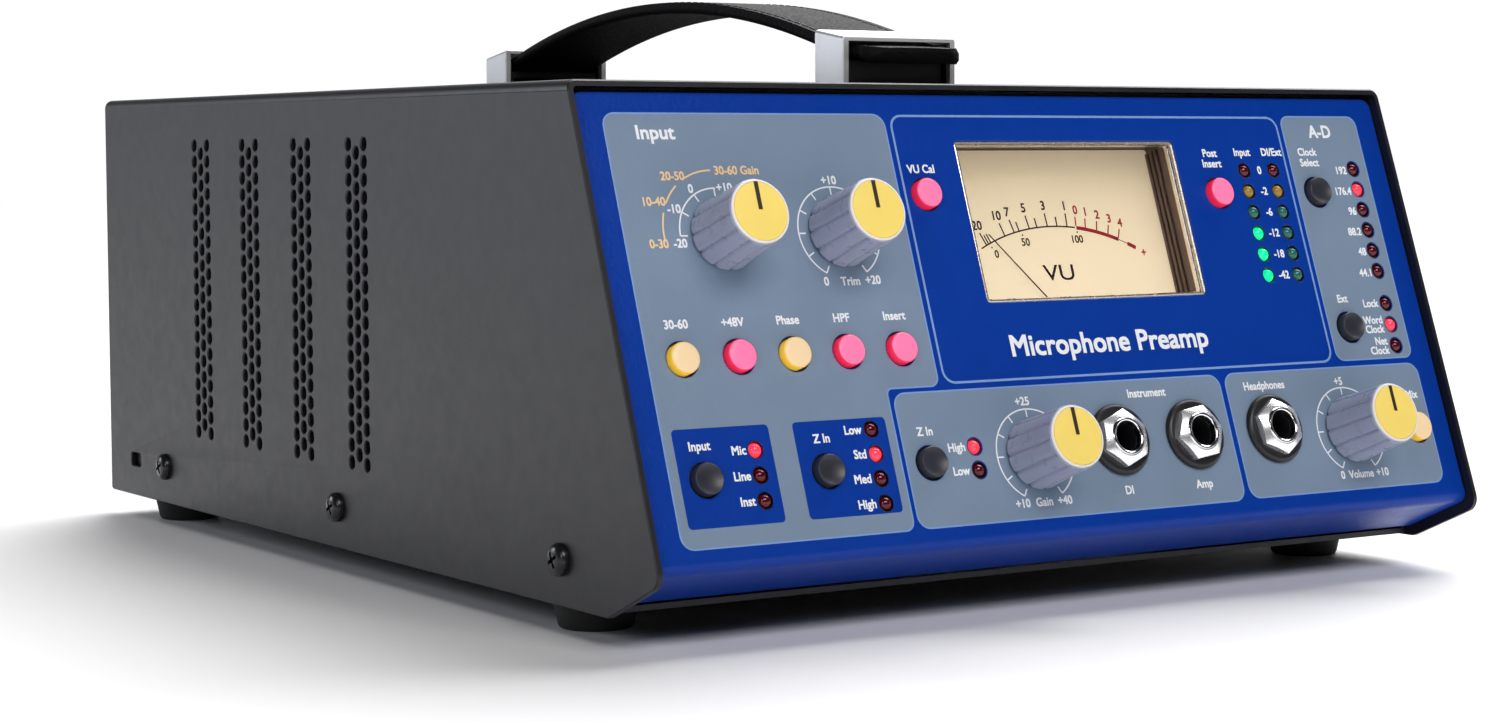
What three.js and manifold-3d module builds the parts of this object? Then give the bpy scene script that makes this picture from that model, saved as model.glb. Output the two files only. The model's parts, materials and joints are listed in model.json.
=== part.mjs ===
// A desktop microphone preamplifier: a folded steel case with a sloping control panel, a strap handle
// on top, a moving-coil level meter, four knobs, thirteen push buttons and sockets front and rear.
// Millimetres, +Z up. The front faces -Y. The origin is under the middle of the part, where it stands.
import * as THREE from "three";
import { mergeVertices } from "three/addons/utils/BufferGeometryUtils.js";
import Module from "manifold-3d";

const wasm = await Module();
wasm.setup();

// Case. Lengths along Y run back from the foot of the sloping front, and Z = 0 is the case's lower edge.
const WIDTH = 220;
const HEIGHT = 104.7;
const DEPTH = 289.4;
const TOP_SETBACK = 37.6;
const NOSE = { y: 3.1, z: 8.7 };
const CHIN_Y = 22.6;
const SHEET = 1.3;
const BEND = 2.2;
const GAP = 0.3;
const FOOT = { height: 6, top: 9, bottom: 7.8, x: 98, y: [48, 264] };
const SCREW = { head: 3.4, headHeight: 2.2, shank: 1.5, z: 9.5, y: [41, 145.5, 250] };
const VENT = { bands: 4, columns: 3, pitch: 4, band: 30, middleY: 178.5, low: 19, high: 94, width: 3 };

// Control panel. On it, x is across, v is up the slope and h stands out of its face.
const SLOPE = Math.atan2(TOP_SETBACK, HEIGHT);
const PANEL = { recess: 2, thick: 2, half: WIDTH / 2 - SHEET - GAP, low: 11.4, high: 109.5, lip: 19.2 };
const KNOB = { low: 0.5, top: 14.7, skirt: 7.4, crown: 6.9, cap: 6.3, recess: 1.1, shaft: 3 };
const BUTTON = { radius: 3.25, hole: 3.65, top: 1.8, travel: 2, stem: 1.5 };
const LED_HOLE = 1.9;
const BOARD = { top: -16, thick: 1.6, margin: 9 };
const JACK = { bore: 3.45, ring: 3.9, thread: 4.5, face: 3.8, washer: 7.8, deep: 26 };
const WINDOW = { x: 13.85, v: 81, width: 61.3, height: 36.1, radius: 1.2 };
const METER = { pivot: 13.9, pivotV: 58.5, dial: -11, length: 29.5, width: 67, low: 50, high: 103, deep: 32 };
const SIDES = 16;

const KNOBS = {
  gain_knob: [-79.4, 79.1],
  trim_knob: [-51.2, 79.1],
  instrument_knob: [-13.1, 29.6],
  phones_knob: [77.4, 29.9],
};
const BUTTONS = {
  pad_button: [-94.3, 53.8],
  phantom_button: [-81.1, 53.8],
  phase_button: [-68, 53.8],
  filter_button: [-54.9, 53.8],
  insert_button: [-41.7, 53.8],
  meter_level_button: [-27.1, 87.1],
  meter_source_button: [54.6, 86.5],
  mix_button: [98.2, 29.4],
  source_button: [-94.2, 29.4],
  impedance_button: [-65.6, 29.4],
  instrument_impedance_button: [-40.1, 29.5],
  clock_button: [84.6, 86.4],
  external_clock_button: [84.6, 53.8],
};
const SOCKETS = {
  di_socket: [10, 31.4],
  amp_socket: [31.1, 31.4],
  headphone_socket: [54.4, 31.4],
};
// Columns of indicator holes: x, v of the highest, how many, and the step down.
const LED_COLUMNS = [
  [-81.4, 34.8, 3, 5.15],
  [-53, 37.4, 4, 5.13],
  [-28.2, 32.3, 2, 5],
  [64, 91.9, 6, 5],
  [72.9, 91.9, 6, 5],
  [98, 92, 6, 5],
  [98, 59.15, 3, 5.08],
];

// Handle. Its strap is an arch between two metal end caps.
const STRAP = { middle: 163.7, half: 92.9, width: 26.8, thick: 3, crown: 23, drop: 10.9, reach: 74 };
const CAP = { inner: 74.3, outer: 85.7, width: 31.5, leg: 2, roof: 1, low: 11.6, high: 13.5, post: 2.3 };
const STRAP_PLAY = 1;

// Rear panel and what it carries, seen at x across and z up.
const REAR = { y: 285.6, thick: 1.5 };
const INLET = { x: -76, z: 33, width: 27, height: 46, flange: 2.5, cavity: [24, 15.6], deep: 18 };
const ROCKER = { z: 45.5, width: 12.6, height: 18, throw: 12, pivot: 3 };
const XLR = { z: 74, mic: 78, output: 46, body: 11.8, flange: [26, 31], deep: 24 };
const LATCH = { width: 6, height: 4, rise: 12, travel: 1.5 };
const REAR_JACKS = { x: [36, 58, 80], z: 30 };
const CLOCK_SOCKETS = { x: [-14, 8], z: 74, radius: 4.8 };

// Turns a closed geometry into a solid whose faces point outward.
function solid(geometry) {
  const bare = geometry.clone();
  bare.deleteAttribute("normal");
  bare.deleteAttribute("uv");
  const merged = mergeVertices(bare, 1e-4);
  const index = merged.index.array;
  const faces = [];
  for (let i = 0; i < index.length; i += 3) {
    const [a, b, c] = index.slice(i, i + 3);
    if (a !== b && b !== c && c !== a) faces.push([a, b, c]);
  }
  const build = (list) =>
    new wasm.Manifold(
      new wasm.Mesh({
        numProp: 3,
        vertProperties: merged.attributes.position.array,
        triVerts: Uint32Array.from(list.flat()),
      }),
    );
  const made = build(faces);
  return made.volume() > 0 ? made : build(faces.map(([a, b, c]) => [a, c, b]));
}

function piece(name, shape, material) {
  const { vertProperties, triVerts } = shape.getMesh();
  const geometry = new THREE.BufferGeometry()
    .setAttribute("position", new THREE.BufferAttribute(vertProperties, 3))
    .setIndex(new THREE.BufferAttribute(triVerts, 1));
  geometry.computeVertexNormals();
  const mesh = new THREE.Mesh(geometry, material);
  mesh.name = name;
  return mesh;
}

const join = (...shapes) => shapes.reduce((sum, shape) => sum.add(shape));
const cut = (shape, ...tools) => tools.reduce((rest, tool) => rest.subtract(tool), shape);

function block([x0, x1], [y0, y1], [z0, z1]) {
  const box = new THREE.BoxGeometry(x1 - x0, y1 - y0, z1 - z0);
  return solid(box.translate((x0 + x1) / 2, (y0 + y1) / 2, (z0 + z1) / 2));
}

// A round or tapered bar standing along Z at (x, y).
function bar(low, high, z0, z1, sides = 16, x = 0, y = 0) {
  const cylinder = new THREE.CylinderGeometry(high, low, z1 - z0, sides);
  cylinder.rotateX(Math.PI / 2);
  return solid(cylinder.translate(x, y, (z0 + z1) / 2));
}

// A round bar along Y from y0 to y1.
function crossBar(radius, y0, y1, x, z, sides = 16) {
  const cylinder = new THREE.CylinderGeometry(radius, radius, y1 - y0, sides);
  return solid(cylinder.translate(x, (y0 + y1) / 2, z));
}

// A ring-shaped or solid turning about Z; the profile's points are [radius, z].
function turned(profile, sides) {
  const points = profile.map(([r, z]) => new THREE.Vector2(r, z));
  const lathe = new THREE.LatheGeometry(points, sides);
  return solid(lathe.rotateX(Math.PI / 2));
}

function outline(points) {
  return new THREE.Shape(points.map(([a, b]) => new THREE.Vector2(a, b)));
}

// An outline whose corners are rounded by the given radius, or each by its own.
function rounded(points, radius) {
  const corners = points.map(([a, b]) => new THREE.Vector2(a, b));
  const shape = new THREE.Shape();
  corners.forEach((corner, i) => {
    const before = corners.at(i - 1);
    const after = corners[(i + 1) % corners.length];
    const reach = Array.isArray(radius) ? radius[i] : radius;
    const start = corner.clone().add(before.clone().sub(corner).setLength(reach));
    const end = corner.clone().add(after.clone().sub(corner).setLength(reach));
    if (i === 0) shape.moveTo(start.x, start.y);
    else shape.lineTo(start.x, start.y);
    if (reach > 0) shape.quadraticCurveTo(corner.x, corner.y, end.x, end.y);
  });
  shape.closePath();
  return shape;
}

const rectangle = (x0, x1, y0, y1) => [[x0, y0], [x1, y0], [x1, y1], [x0, y1]];

function extruded(shape, depth, curveSegments = 3) {
  return new THREE.ExtrudeGeometry(shape, { depth, bevelEnabled: false, curveSegments });
}

// An outline of (x, y) points standing along Z.
const alongZ = (shape, z0, z1) => solid(extruded(shape, z1 - z0).translate(0, 0, z0));

// An outline of (x, z) points running along Y.
const alongY = (shape, y0, y1) => solid(extruded(shape, y1 - y0).rotateX(Math.PI / 2).translate(0, y1, 0));

// An outline of (y, z) points running along X.
function alongX(shape, x0, x1, curveSegments = 3) {
  const turn = new THREE.Matrix4().makeBasis(
    new THREE.Vector3(0, 1, 0),
    new THREE.Vector3(0, 0, 1),
    new THREE.Vector3(1, 0, 0),
  );
  return solid(extruded(shape, x1 - x0, curveSegments).applyMatrix4(turn).translate(x0, 0, 0));
}

// Materials
function finish(color, roughness, metalness = 0) {
  return new THREE.MeshStandardMaterial({ color, roughness, metalness });
}
const blackPaint = finish(0x26262a, 0.5, 0.3);
const plainSteel = finish(0x9a9ca0, 0.4, 0.9);
const bluePaint = finish(0x0d3f9e, 0.45, 0.1);
const brushedMetal = finish(0xdfe0e3, 0.35, 0.9);
const strapLeather = finish(0x1c1c1e, 0.7);
const rubber = finish(0x161617, 0.85);
const knobPlastic = finish(0x9698ac, 0.45);
const knobCapPlastic = finish(0xffe373, 0.4);
const clearPlastic = finish(0xe8eef2, 0.1);
const dialCard = finish(0xf3e2b8, 0.8);
const blackPlastic = finish(0x111113, 0.5);
const blackButton = finish(0x17171a, 0.45);
const pinkButton = finish(0xf26fae, 0.45);
const amberButton = finish(0xeccb6b, 0.45);
const chrome = finish(0xd8d8da, 0.2, 1);
const boardGreen = finish(0x1d5a35, 0.6);
const copperWinding = finish(0xb56a3a, 0.5, 0.6);

// Case
function caseOutline(inset) {
  const lean = inset / Math.cos(SLOPE);
  const chinLean = Math.atan2(NOSE.z, CHIN_Y - NOSE.y);
  const points = [
    [CHIN_Y + inset * Math.tan(chinLean / 2 + Math.PI / 8), inset],
    [DEPTH - inset, inset],
    [DEPTH - inset, HEIGHT - inset],
    [TOP_SETBACK + lean - inset * Math.tan(SLOPE), HEIGHT - inset],
    [NOSE.y + inset, NOSE.z + inset * 0.55],
  ];
  return rounded(points, [2, 1, 1, 2.5, 3]);
}

function ventSlots(outer) {
  const slots = [];
  for (let band = 0; band < VENT.bands; band += 1) {
    for (let column = 0; column < VENT.columns; column += 1) {
      const bandMiddle = VENT.middleY + (band - (VENT.bands - 1) / 2) * VENT.band;
      const y = bandMiddle + (column - (VENT.columns - 1) / 2) * VENT.pitch;
      const edges = rectangle(y - VENT.width / 2, y + VENT.width / 2, VENT.low, VENT.high);
      slots.push(alongX(rounded(edges, VENT.width / 3), -outer, outer, 1));
    }
  }
  return slots;
}

function screwHoles(radius, outer) {
  return SCREW.y.map((y) => {
    const hole = new THREE.CylinderGeometry(radius, radius, 2 * outer, 12).rotateZ(Math.PI / 2);
    return solid(hole.translate(0, y, SCREW.z));
  });
}

function topCover() {
  const half = WIDTH / 2;
  const wrap = rounded(rectangle(-half, half, -10, HEIGHT), [0, 0, BEND, BEND]);
  const hollow = rectangle(-half + SHEET, half - SHEET, -20, HEIGHT - SHEET);
  const sheet = cut(
    alongY(wrap, 0, DEPTH),
    alongY(rounded(hollow, [0, 0, BEND - SHEET, BEND - SHEET]), -10, DEPTH + 10),
  );
  const shape = cut(
    sheet.intersect(alongX(caseOutline(0), -half, half)),
    ...ventSlots(half + 5),
    ...screwHoles(1.9, half + 5),
  );
  return piece("top_cover", shape, blackPaint);
}

function chassisTray() {
  const half = WIDTH / 2 - SHEET - GAP;
  const side = [
    [CHIN_Y + 2.5, 0.4],
    [REAR.y - GAP, 0.4],
    [REAR.y - GAP, HEIGHT - SHEET - GAP - 0.5],
    [TOP_SETBACK + 6, HEIGHT - SHEET - GAP - 0.5],
    [14, 17],
    [CHIN_Y + 2.5, 10],
  ];
  const inner = half - 1.2;
  const window = rectangle(VENT.middleY - 56, VENT.middleY + 56, VENT.low - 3, VENT.high + 3);
  const shape = cut(
    alongX(outline(side), -half, half),
    block([-inner, inner], [-10, DEPTH + 10], [1.6, HEIGHT + 10]),
    alongX(outline(window), -half - 5, half + 5),
    ...screwHoles(1.8, half + 5),
    ...footPlaces().map(([x, y]) => bar(2.7, 2.7, -1, 3, 12, x, y)),
  );
  return piece("chassis_tray", shape, plainSteel);
}

function coverScrew(side, y) {
  const { head, headHeight, shank } = SCREW;
  const profile = [
    [0, -8],
    [shank, -8],
    [shank, 0.05],
    [head, 0.05],
    [head, 1],
    [head - 1, headHeight],
    [0, headHeight],
  ];
  const screw = piece("", turned(profile, 10), blackPaint);
  screw.rotation.y = (side * Math.PI) / 2;
  screw.position.set((side * WIDTH) / 2, y, SCREW.z);
  return screw;
}

function coverScrews() {
  const names = ["front", "middle", "rear"];
  return [["left", -1], ["right", 1]].flatMap(([label, side]) =>
    SCREW.y.map((y, i) => {
      const screw = coverScrew(side, y);
      screw.name = "cover_screw_" + label + "_" + names[i];
      return screw;
    }),
  );
}

function footPlaces() {
  return FOOT.y.flatMap((y) => [[-FOOT.x, y], [FOOT.x, y]]);
}

function feet() {
  const names = ["front_left", "front_right", "rear_left", "rear_right"];
  const { height, top, bottom } = FOOT;
  const profile = [
    [0, -height + 3],
    [3, -height + 3],
    [3, -height],
    [bottom - 0.6, -height],
    [bottom, -height + 0.6],
    [top, 0.2],
    [2.4, 0.2],
    [2.4, 3],
    [0, 3],
  ];
  return footPlaces().map(([x, y], i) => {
    const foot = piece("foot_" + names[i], turned(profile, SIDES), rubber);
    foot.position.set(x, y, 0);
    return foot;
  });
}

// Handle
// The strap is an arch as far as its reach, and levels out from there to its ends.
function strapTop(offset) {
  const steep = (2 * STRAP.drop) / STRAP.reach;
  const arch = Math.min(Math.abs(offset), STRAP.reach);
  const past = Math.abs(offset) - arch;
  const span = STRAP.half - STRAP.reach;
  return STRAP.crown - STRAP.drop * (arch / STRAP.reach) ** 2 - steep * (past - (past * past) / (2 * span));
}

function handleStrap() {
  const steps = 20;
  const upper = [];
  const lower = [];
  for (let i = 0; i <= steps; i += 1) {
    const offset = STRAP.half * (1 - (2 * i) / steps);
    upper.push([STRAP.middle + offset, HEIGHT + strapTop(offset)]);
    lower.unshift([STRAP.middle + offset, HEIGHT + strapTop(offset) - STRAP.thick]);
  }
  const strap = alongX(outline([...upper, ...lower]), -STRAP.width / 2, STRAP.width / 2);
  const capMiddle = (CAP.inner + CAP.outer) / 2;
  const halfSlot = CAP.post + STRAP_PLAY + GAP;
  const slots = [-1, 1].map((end) => {
    const y = STRAP.middle + end * capMiddle;
    const room = CAP.post + GAP;
    return block([-room, room], [y - halfSlot, y + halfSlot], [HEIGHT, HEIGHT + 30]);
  });
  return piece("handle_strap", cut(strap, ...slots), strapLeather);
}

function handleCap(name, end) {
  const inner = STRAP.middle + end * CAP.inner;
  const outer = STRAP.middle + end * CAP.outer;
  const foot = HEIGHT + 0.1;
  const side = [
    [inner, foot],
    [outer, foot],
    [outer, HEIGHT + CAP.low],
    [inner, HEIGHT + CAP.high],
  ];
  const tunnelSide = [
    [inner - end, foot - 1],
    [outer + end, foot - 1],
    [outer + end, HEIGHT + CAP.low - CAP.roof - 0.16],
    [inner - end, HEIGHT + CAP.high - CAP.roof + 0.16],
  ];
  const half = CAP.width / 2;
  const arch = cut(
    alongX(rounded(side, 0.4), -half, half),
    alongX(outline(tunnelSide), -half + CAP.leg, half - CAP.leg),
  );
  const post = bar(CAP.post, CAP.post, foot, HEIGHT + CAP.low - 0.2, 14, 0, (inner + outer) / 2);
  return piece(name, arch.add(post), brushedMetal);
}

// Control panel
function panelHole(radius, [x, v], sides = 12) {
  return bar(radius, radius, -PANEL.thick - 1, 1, sides, x, v);
}

function windowOutline(grow) {
  const half = WINDOW.width / 2 + grow;
  const rise = WINDOW.height / 2 + grow;
  const edges = rectangle(WINDOW.x - half, WINDOW.x + half, WINDOW.v - rise, WINDOW.v + rise);
  return rounded(edges, WINDOW.radius);
}

function frontPanel() {
  const { half, low, high, thick, lip } = PANEL;
  const backLean = 0.075 * lip;
  const corners = [
    [high, 0],
    [high, -thick],
    [low + thick, -thick],
    [low + thick - backLean, -lip],
    [low - backLean, -lip],
    [low, 0],
  ];
  const section = rounded(corners, [0, 0, 0.4, 0, 0, 2]);
  const plate = alongX(section, -half, half);
  const face = alongZ(rounded(rectangle(-half, half, low - 2, high), 2.5), -lip - 1, 1);
  const ledPlaces = LED_COLUMNS.flatMap(([x, v, count, step]) =>
    Array.from({ length: count }, (_, i) => [x, v - i * step]),
  );
  const shape = cut(
    plate.intersect(face),
    alongZ(windowOutline(0), -thick - 1, 1),
    ...Object.values(KNOBS).map((place) => panelHole(4.2, place)),
    ...Object.values(BUTTONS).map((place) => panelHole(BUTTON.hole, place)),
    ...Object.values(SOCKETS).map((place) => panelHole(JACK.thread + GAP, place)),
    ...ledPlaces.map((place) => panelHole(LED_HOLE, place, 6)),
  );
  return piece("front_panel", shape, bluePaint);
}

function knobSkirt() {
  const { low, top, skirt, crown, cap, recess, shaft } = KNOB;
  const profile = [
    [0, -12],
    [shaft, -12],
    [shaft, low + 2],
    [skirt - 1.6, low + 2],
    [skirt - 1.6, low],
    [skirt, low],
    [crown, top - 0.5],
    [crown - 0.4, top],
    [cap + GAP, top],
    [cap + GAP, top - recess],
    [0, top - recess],
  ];
  return turned(profile, SIDES);
}

function knobs() {
  const { top, cap, recess } = KNOB;
  return Object.entries(KNOBS).flatMap(([name, [x, v]]) => {
    const knob = piece(name, knobSkirt(), knobPlastic);
    const [lidFoot, lidTop] = [top - recess + GAP, top + 0.3];
    const lid = turned([[0, lidFoot], [cap, lidFoot], [cap, lidTop], [0, lidTop]], SIDES);
    const lidPiece = piece(name + "_cap", lid, knobCapPlastic);
    knob.position.set(x, v, 0);
    lidPiece.position.set(x, v, 0);
    return [knob, lidPiece];
  });
}

function buttonMaterial(name) {
  const amber = ["pad_button", "phase_button", "mix_button"];
  const pink = [
    "phantom_button",
    "filter_button",
    "insert_button",
    "meter_level_button",
    "meter_source_button",
  ];
  if (amber.includes(name)) return amberButton;
  return pink.includes(name) ? pinkButton : blackButton;
}

function buttons() {
  const { radius, top, stem } = BUTTON;
  const profile = [[0, -10.5], [stem, -10.5], [stem, -4], [radius, -4], [radius, top], [0, top]];
  return Object.entries(BUTTONS).map(([name, [x, v]]) => {
    const button = piece(name, turned(profile, 12), buttonMaterial(name));
    button.position.set(x, v, 0);
    return button;
  });
}

function frontSockets() {
  const { bore, ring, thread, face, washer, deep } = JACK;
  return Object.entries(SOCKETS).flatMap(([name, [x, v]]) => {
    const body = join(
      block([-7, 7], [-7.5, 7.5], [-deep, -2.6]),
      bar(thread, thread, -3, face - 0.8),
      bar(ring, ring, face - 1, face),
    );
    const socket = piece(name, body.subtract(bar(bore, bore, -deep + 2, face + 1)), blackPlastic);
    const nutBody = join(
      turned([[0, 0.1], [washer, 0.1], [washer, 0.7], [washer - 0.6, 1.3], [0, 1.3]], 20),
      bar(6.35, 6.35, 1, 3.2, 6),
    );
    const nut = piece(name + "_nut", nutBody.subtract(bar(thread + GAP, thread + GAP, -1, 5)), chrome);
    socket.position.set(x, v, 0);
    nut.position.set(x, v, 0);
    return [socket, nut];
  });
}

// Level meter
function meter() {
  const { pivot, pivotV, dial, length, width, low, high, deep } = METER;
  const x0 = WINDOW.x - width / 2;
  const x1 = WINDOW.x + width / 2;
  const front = -3.9;
  const wall = 1.5;
  const caseShape = cut(
    block([x0, x1], [low, high], [front - deep, front]),
    block([x0 + wall, x1 - wall], [low + wall, high - wall], [front - deep + wall, front + 1]),
  );
  // A block inside the meter case, set in from its walls.
  const within = (inset, z0, z1) =>
    block(
      [x0 + wall + inset, x1 - wall - inset],
      [low + wall + inset, high - wall - inset],
      [z0, z1],
    );
  const ledge = cut(within(-0.5, dial - 2.8, dial - 1.3), within(1, dial - 4, dial));
  const housing = caseShape.add(ledge);
  const plate = within(GAP, dial - 1, dial).subtract(bar(2, 2, dial - 2, dial + 1, 12, pivot, pivotV));
  const pane = join(
    alongZ(windowOutline(-0.4), -2.4, -0.6),
    alongZ(windowOutline(1.5), -3.5, -2.3),
  );
  const movement = cut(
    bar(5.5, 5.5, front - deep + wall + GAP, dial - 1.3, SIDES, pivot, pivotV),
    bar(1.4, 1.4, dial - 12, dial, 10, pivot, pivotV),
  );
  const restAngle = THREE.MathUtils.degToRad(40);
  const needleShape = join(
    bar(1.6, 1.6, 0.5, 1.5, 12),
    bar(0.9, 0.9, -9, 1, 10),
    block([-0.4, 0.4], [0, length], [0.7, 1.2]),
    block([-0.7, 0.7], [-6, 0], [0.6, 1.3]),
  );
  const needle = piece("meter_needle", needleShape, blackPlastic);
  needle.position.set(pivot, pivotV, dial);
  needle.rotation.z = restAngle;
  return [
    piece("meter_case", housing, blackPlastic),
    piece("meter_dial", plate, dialCard),
    piece("meter_window", pane, clearPlastic),
    piece("meter_movement", movement, plainSteel),
    needle,
  ];
}

// Circuit board behind the panel, with the switches and potentiometers soldered to it.
function frontBoard() {
  const { top, thick, margin } = BOARD;
  const under = top - thick;
  const half = WIDTH / 2 - margin;
  const plate = block([-half, half], [17, 104], [under, top]);
  const meterRoom = block(
    [WINDOW.x - METER.width / 2 - 1, WINDOW.x + METER.width / 2 + 1],
    [METER.low - 1, METER.high + 5],
    [under - 1, top + 1],
  );
  const socketRooms = Object.values(SOCKETS).map(([x, v]) =>
    block([x - 8, x + 8], [v - 8.5, v + 8.5], [under - 1, top + 1]),
  );
  const switches = Object.values(BUTTONS).map(([x, v]) =>
    block([x - 4, x + 4], [v - 4, v + 4], [top - 0.5, -7]).subtract(bar(1.9, 1.9, -13.5, -5, 8, x, v)),
  );
  const shaftHole = KNOB.shaft + GAP;
  const controls = Object.values(KNOBS).map(([x, v]) => {
    const box = block([x - 8.5, x + 8.5], [v - 8.5, v + 8.5], [top - 0.5, -4]);
    const bush = bar(3.8, 3.8, -5, 0.6, 12, x, v);
    return cut(join(box, bush), bar(shaftHole, shaftHole, -13, 2, 12, x, v));
  });
  const posts = [[-99, 19.5], [99, 19.5], [-99, 100], [99, 100]].map(([x, v]) =>
    bar(2, 2, top - 0.5, -PANEL.thick - GAP, 10, x, v),
  );
  const board = cut(plate, meterRoom, ...socketRooms);
  return piece("front_board", join(board, ...posts, ...switches, ...controls), boardGreen);
}

// Rear panel and its sockets
function flangeHoles([width, height], x, z, y0, y1) {
  return [-1, 1].map((s) => crossBar(1.6, y0, y1, x + s * (width / 2 - 3.2), z - s * (height / 2 - 3.6), 10));
}

function rearPanel() {
  const { y, thick } = REAR;
  const half = WIDTH / 2 - SHEET - GAP;
  const [y0, y1] = [y - 1, y + thick + 1];
  const inletHalf = INLET.width / 2 + GAP;
  const inletRise = INLET.height / 2 + GAP;
  const latchHalf = LATCH.width / 2 + GAP;
  const shape = cut(
    block([-half, half], [y, y + thick], [0.5, HEIGHT - SHEET - GAP]),
    block([INLET.x - inletHalf, INLET.x + inletHalf], [y0, y1], [INLET.z - inletRise, INLET.z + inletRise]),
    ...[XLR.mic, XLR.output].map((x) => crossBar(XLR.body + GAP, y0, y1, x, XLR.z, 24)),
    ...REAR_JACKS.x.map((x) => crossBar(JACK.thread + GAP, y0, y1, x, REAR_JACKS.z, 12)),
    ...CLOCK_SOCKETS.x.map((x) => crossBar(CLOCK_SOCKETS.radius + GAP, y0, y1, x, CLOCK_SOCKETS.z)),
    block([XLR.mic - latchHalf, XLR.mic + latchHalf], [y0, y1], [XLR.z + 8, XLR.z + LATCH.rise + 2.3]),
  );
  return piece("rear_panel", shape, blackPaint);
}

function mainsInlet() {
  const { x, z, width, height, flange, cavity, deep } = INLET;
  const face = REAR.y + REAR.thick + 0.1;
  const cavityZ = z - height / 2 + 4 + cavity[1] / 2;
  const [cavityHalf, cavityRise] = [cavity[0] / 2, cavity[1] / 2];
  const mouth = rounded(
    rectangle(x - cavityHalf, x + cavityHalf, cavityZ - cavityRise, cavityZ + cavityRise),
    [0.6, 0.6, 4, 4],
  );
  const pins = [[-7, 1.6], [7, 1.6], [0, -2.6]].map(([dx, dz]) =>
    block([x + dx - 1, x + dx + 1], [face - deep - 1, face - 4.8], [cavityZ + dz - 2, cavityZ + dz + 2]),
  );
  const [openHalf, openRise] = [ROCKER.width / 2 + 0.5, ROCKER.height / 2 + 0.5];
  const [half, rise] = [width / 2, height / 2];
  const shape = join(
    cut(
      join(
        block([x - half, x + half], [face - deep - 5, face], [z - rise, z + rise]),
        block([x - half - flange, x + half + flange], [face, face + 2], [z - rise - 2, z + rise + 2]),
      ),
      alongY(mouth, face - deep, face + 5),
      block([x - openRise, x + openRise], [face - 12, face + 5], [ROCKER.z - openHalf, ROCKER.z + openHalf]),
    ),
    ...pins,
  );
  return piece("mains_inlet", shape, blackPlastic);
}

// The rocker lies on its side and tips about an upright axis.
function powerRocker() {
  const face = REAR.y + REAR.thick + 2.1;
  const half = ROCKER.height / 2 - 0.8;
  const rise = Math.tan(THREE.MathUtils.degToRad(ROCKER.throw / 2)) * half;
  const section = [[-half + 2.4, -4], [half - 2.4, -4], [half, 3.6 + rise], [0, 3.4], [-half, 3.6 - rise]];
  const shape = alongZ(outline(section), -ROCKER.width / 2, ROCKER.width / 2);
  const rocker = piece("power_rocker", shape, blackPlastic);
  rocker.position.set(INLET.x, face - ROCKER.pivot, ROCKER.z);
  return rocker;
}

function micSocket() {
  const { z, mic, body, flange, deep } = XLR;
  const face = REAR.y + REAR.thick + 0.1;
  const [halfWide, halfTall] = [flange[0] / 2, flange[1] / 2];
  const plate = rounded(rectangle(mic - halfWide, mic + halfWide, z - halfTall, z + halfTall), 2);
  const latchHalf = LATCH.width / 2 + GAP;
  const latchLow = z + LATCH.rise - LATCH.height / 2 - LATCH.travel - GAP;
  const latchHigh = z + LATCH.rise + LATCH.height / 2 + GAP;
  const holes = [90, 210, 330].map((turn) => {
    const angle = THREE.MathUtils.degToRad(turn + 180);
    return crossBar(1.5, face - 12, face + 4, mic + 5.4 * Math.cos(angle), z + 5.4 * Math.sin(angle), 10);
  });
  const groove = cut(
    crossBar(10, face - 14, face + 4, mic, z, 24),
    crossBar(8, face - 15, face + 5, mic, z, 24),
  );
  const shape = cut(
    join(alongY(plate, face, face + 1.8), crossBar(body, face - deep, face + 0.5, mic, z, 24)),
    groove,
    block([mic - latchHalf, mic + latchHalf], [face - 3.6, face + 4], [latchLow, latchHigh]),
    ...holes,
    ...flangeHoles(flange, mic, z, face - 1, face + 3),
  );
  return piece("mic_socket", shape, blackPlastic);
}

function micSocketLatch() {
  const face = REAR.y + REAR.thick + 0.1;
  const shape = block(
    [XLR.mic - LATCH.width / 2, XLR.mic + LATCH.width / 2],
    [face - 3.2, face + 2.8],
    [XLR.z + LATCH.rise - LATCH.height / 2, XLR.z + LATCH.rise + LATCH.height / 2],
  );
  return piece("mic_socket_latch", shape, chrome);
}

function outputSocket() {
  const { z, output, body, flange, deep } = XLR;
  const face = REAR.y + REAR.thick + 0.1;
  const [halfWide, halfTall] = [flange[0] / 2, flange[1] / 2];
  const plate = rounded(rectangle(output - halfWide, output + halfWide, z - halfTall, z + halfTall), 2);
  const pins = [90, 210, 330].map((turn) => {
    const angle = THREE.MathUtils.degToRad(turn);
    return crossBar(1.2, face - 17, face - 2, output + 5.4 * Math.cos(angle), z + 5.4 * Math.sin(angle), 10);
  });
  const shape = join(
    cut(
      join(alongY(plate, face, face + 1.8), crossBar(body, face - deep, face + 0.5, output, z, 24)),
      crossBar(9.6, face - 16, face + 4, output, z, 24),
      ...flangeHoles(flange, output, z, face - 1, face + 3),
    ),
    ...pins,
  );
  return piece("output_socket", shape, blackPlastic);
}

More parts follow.
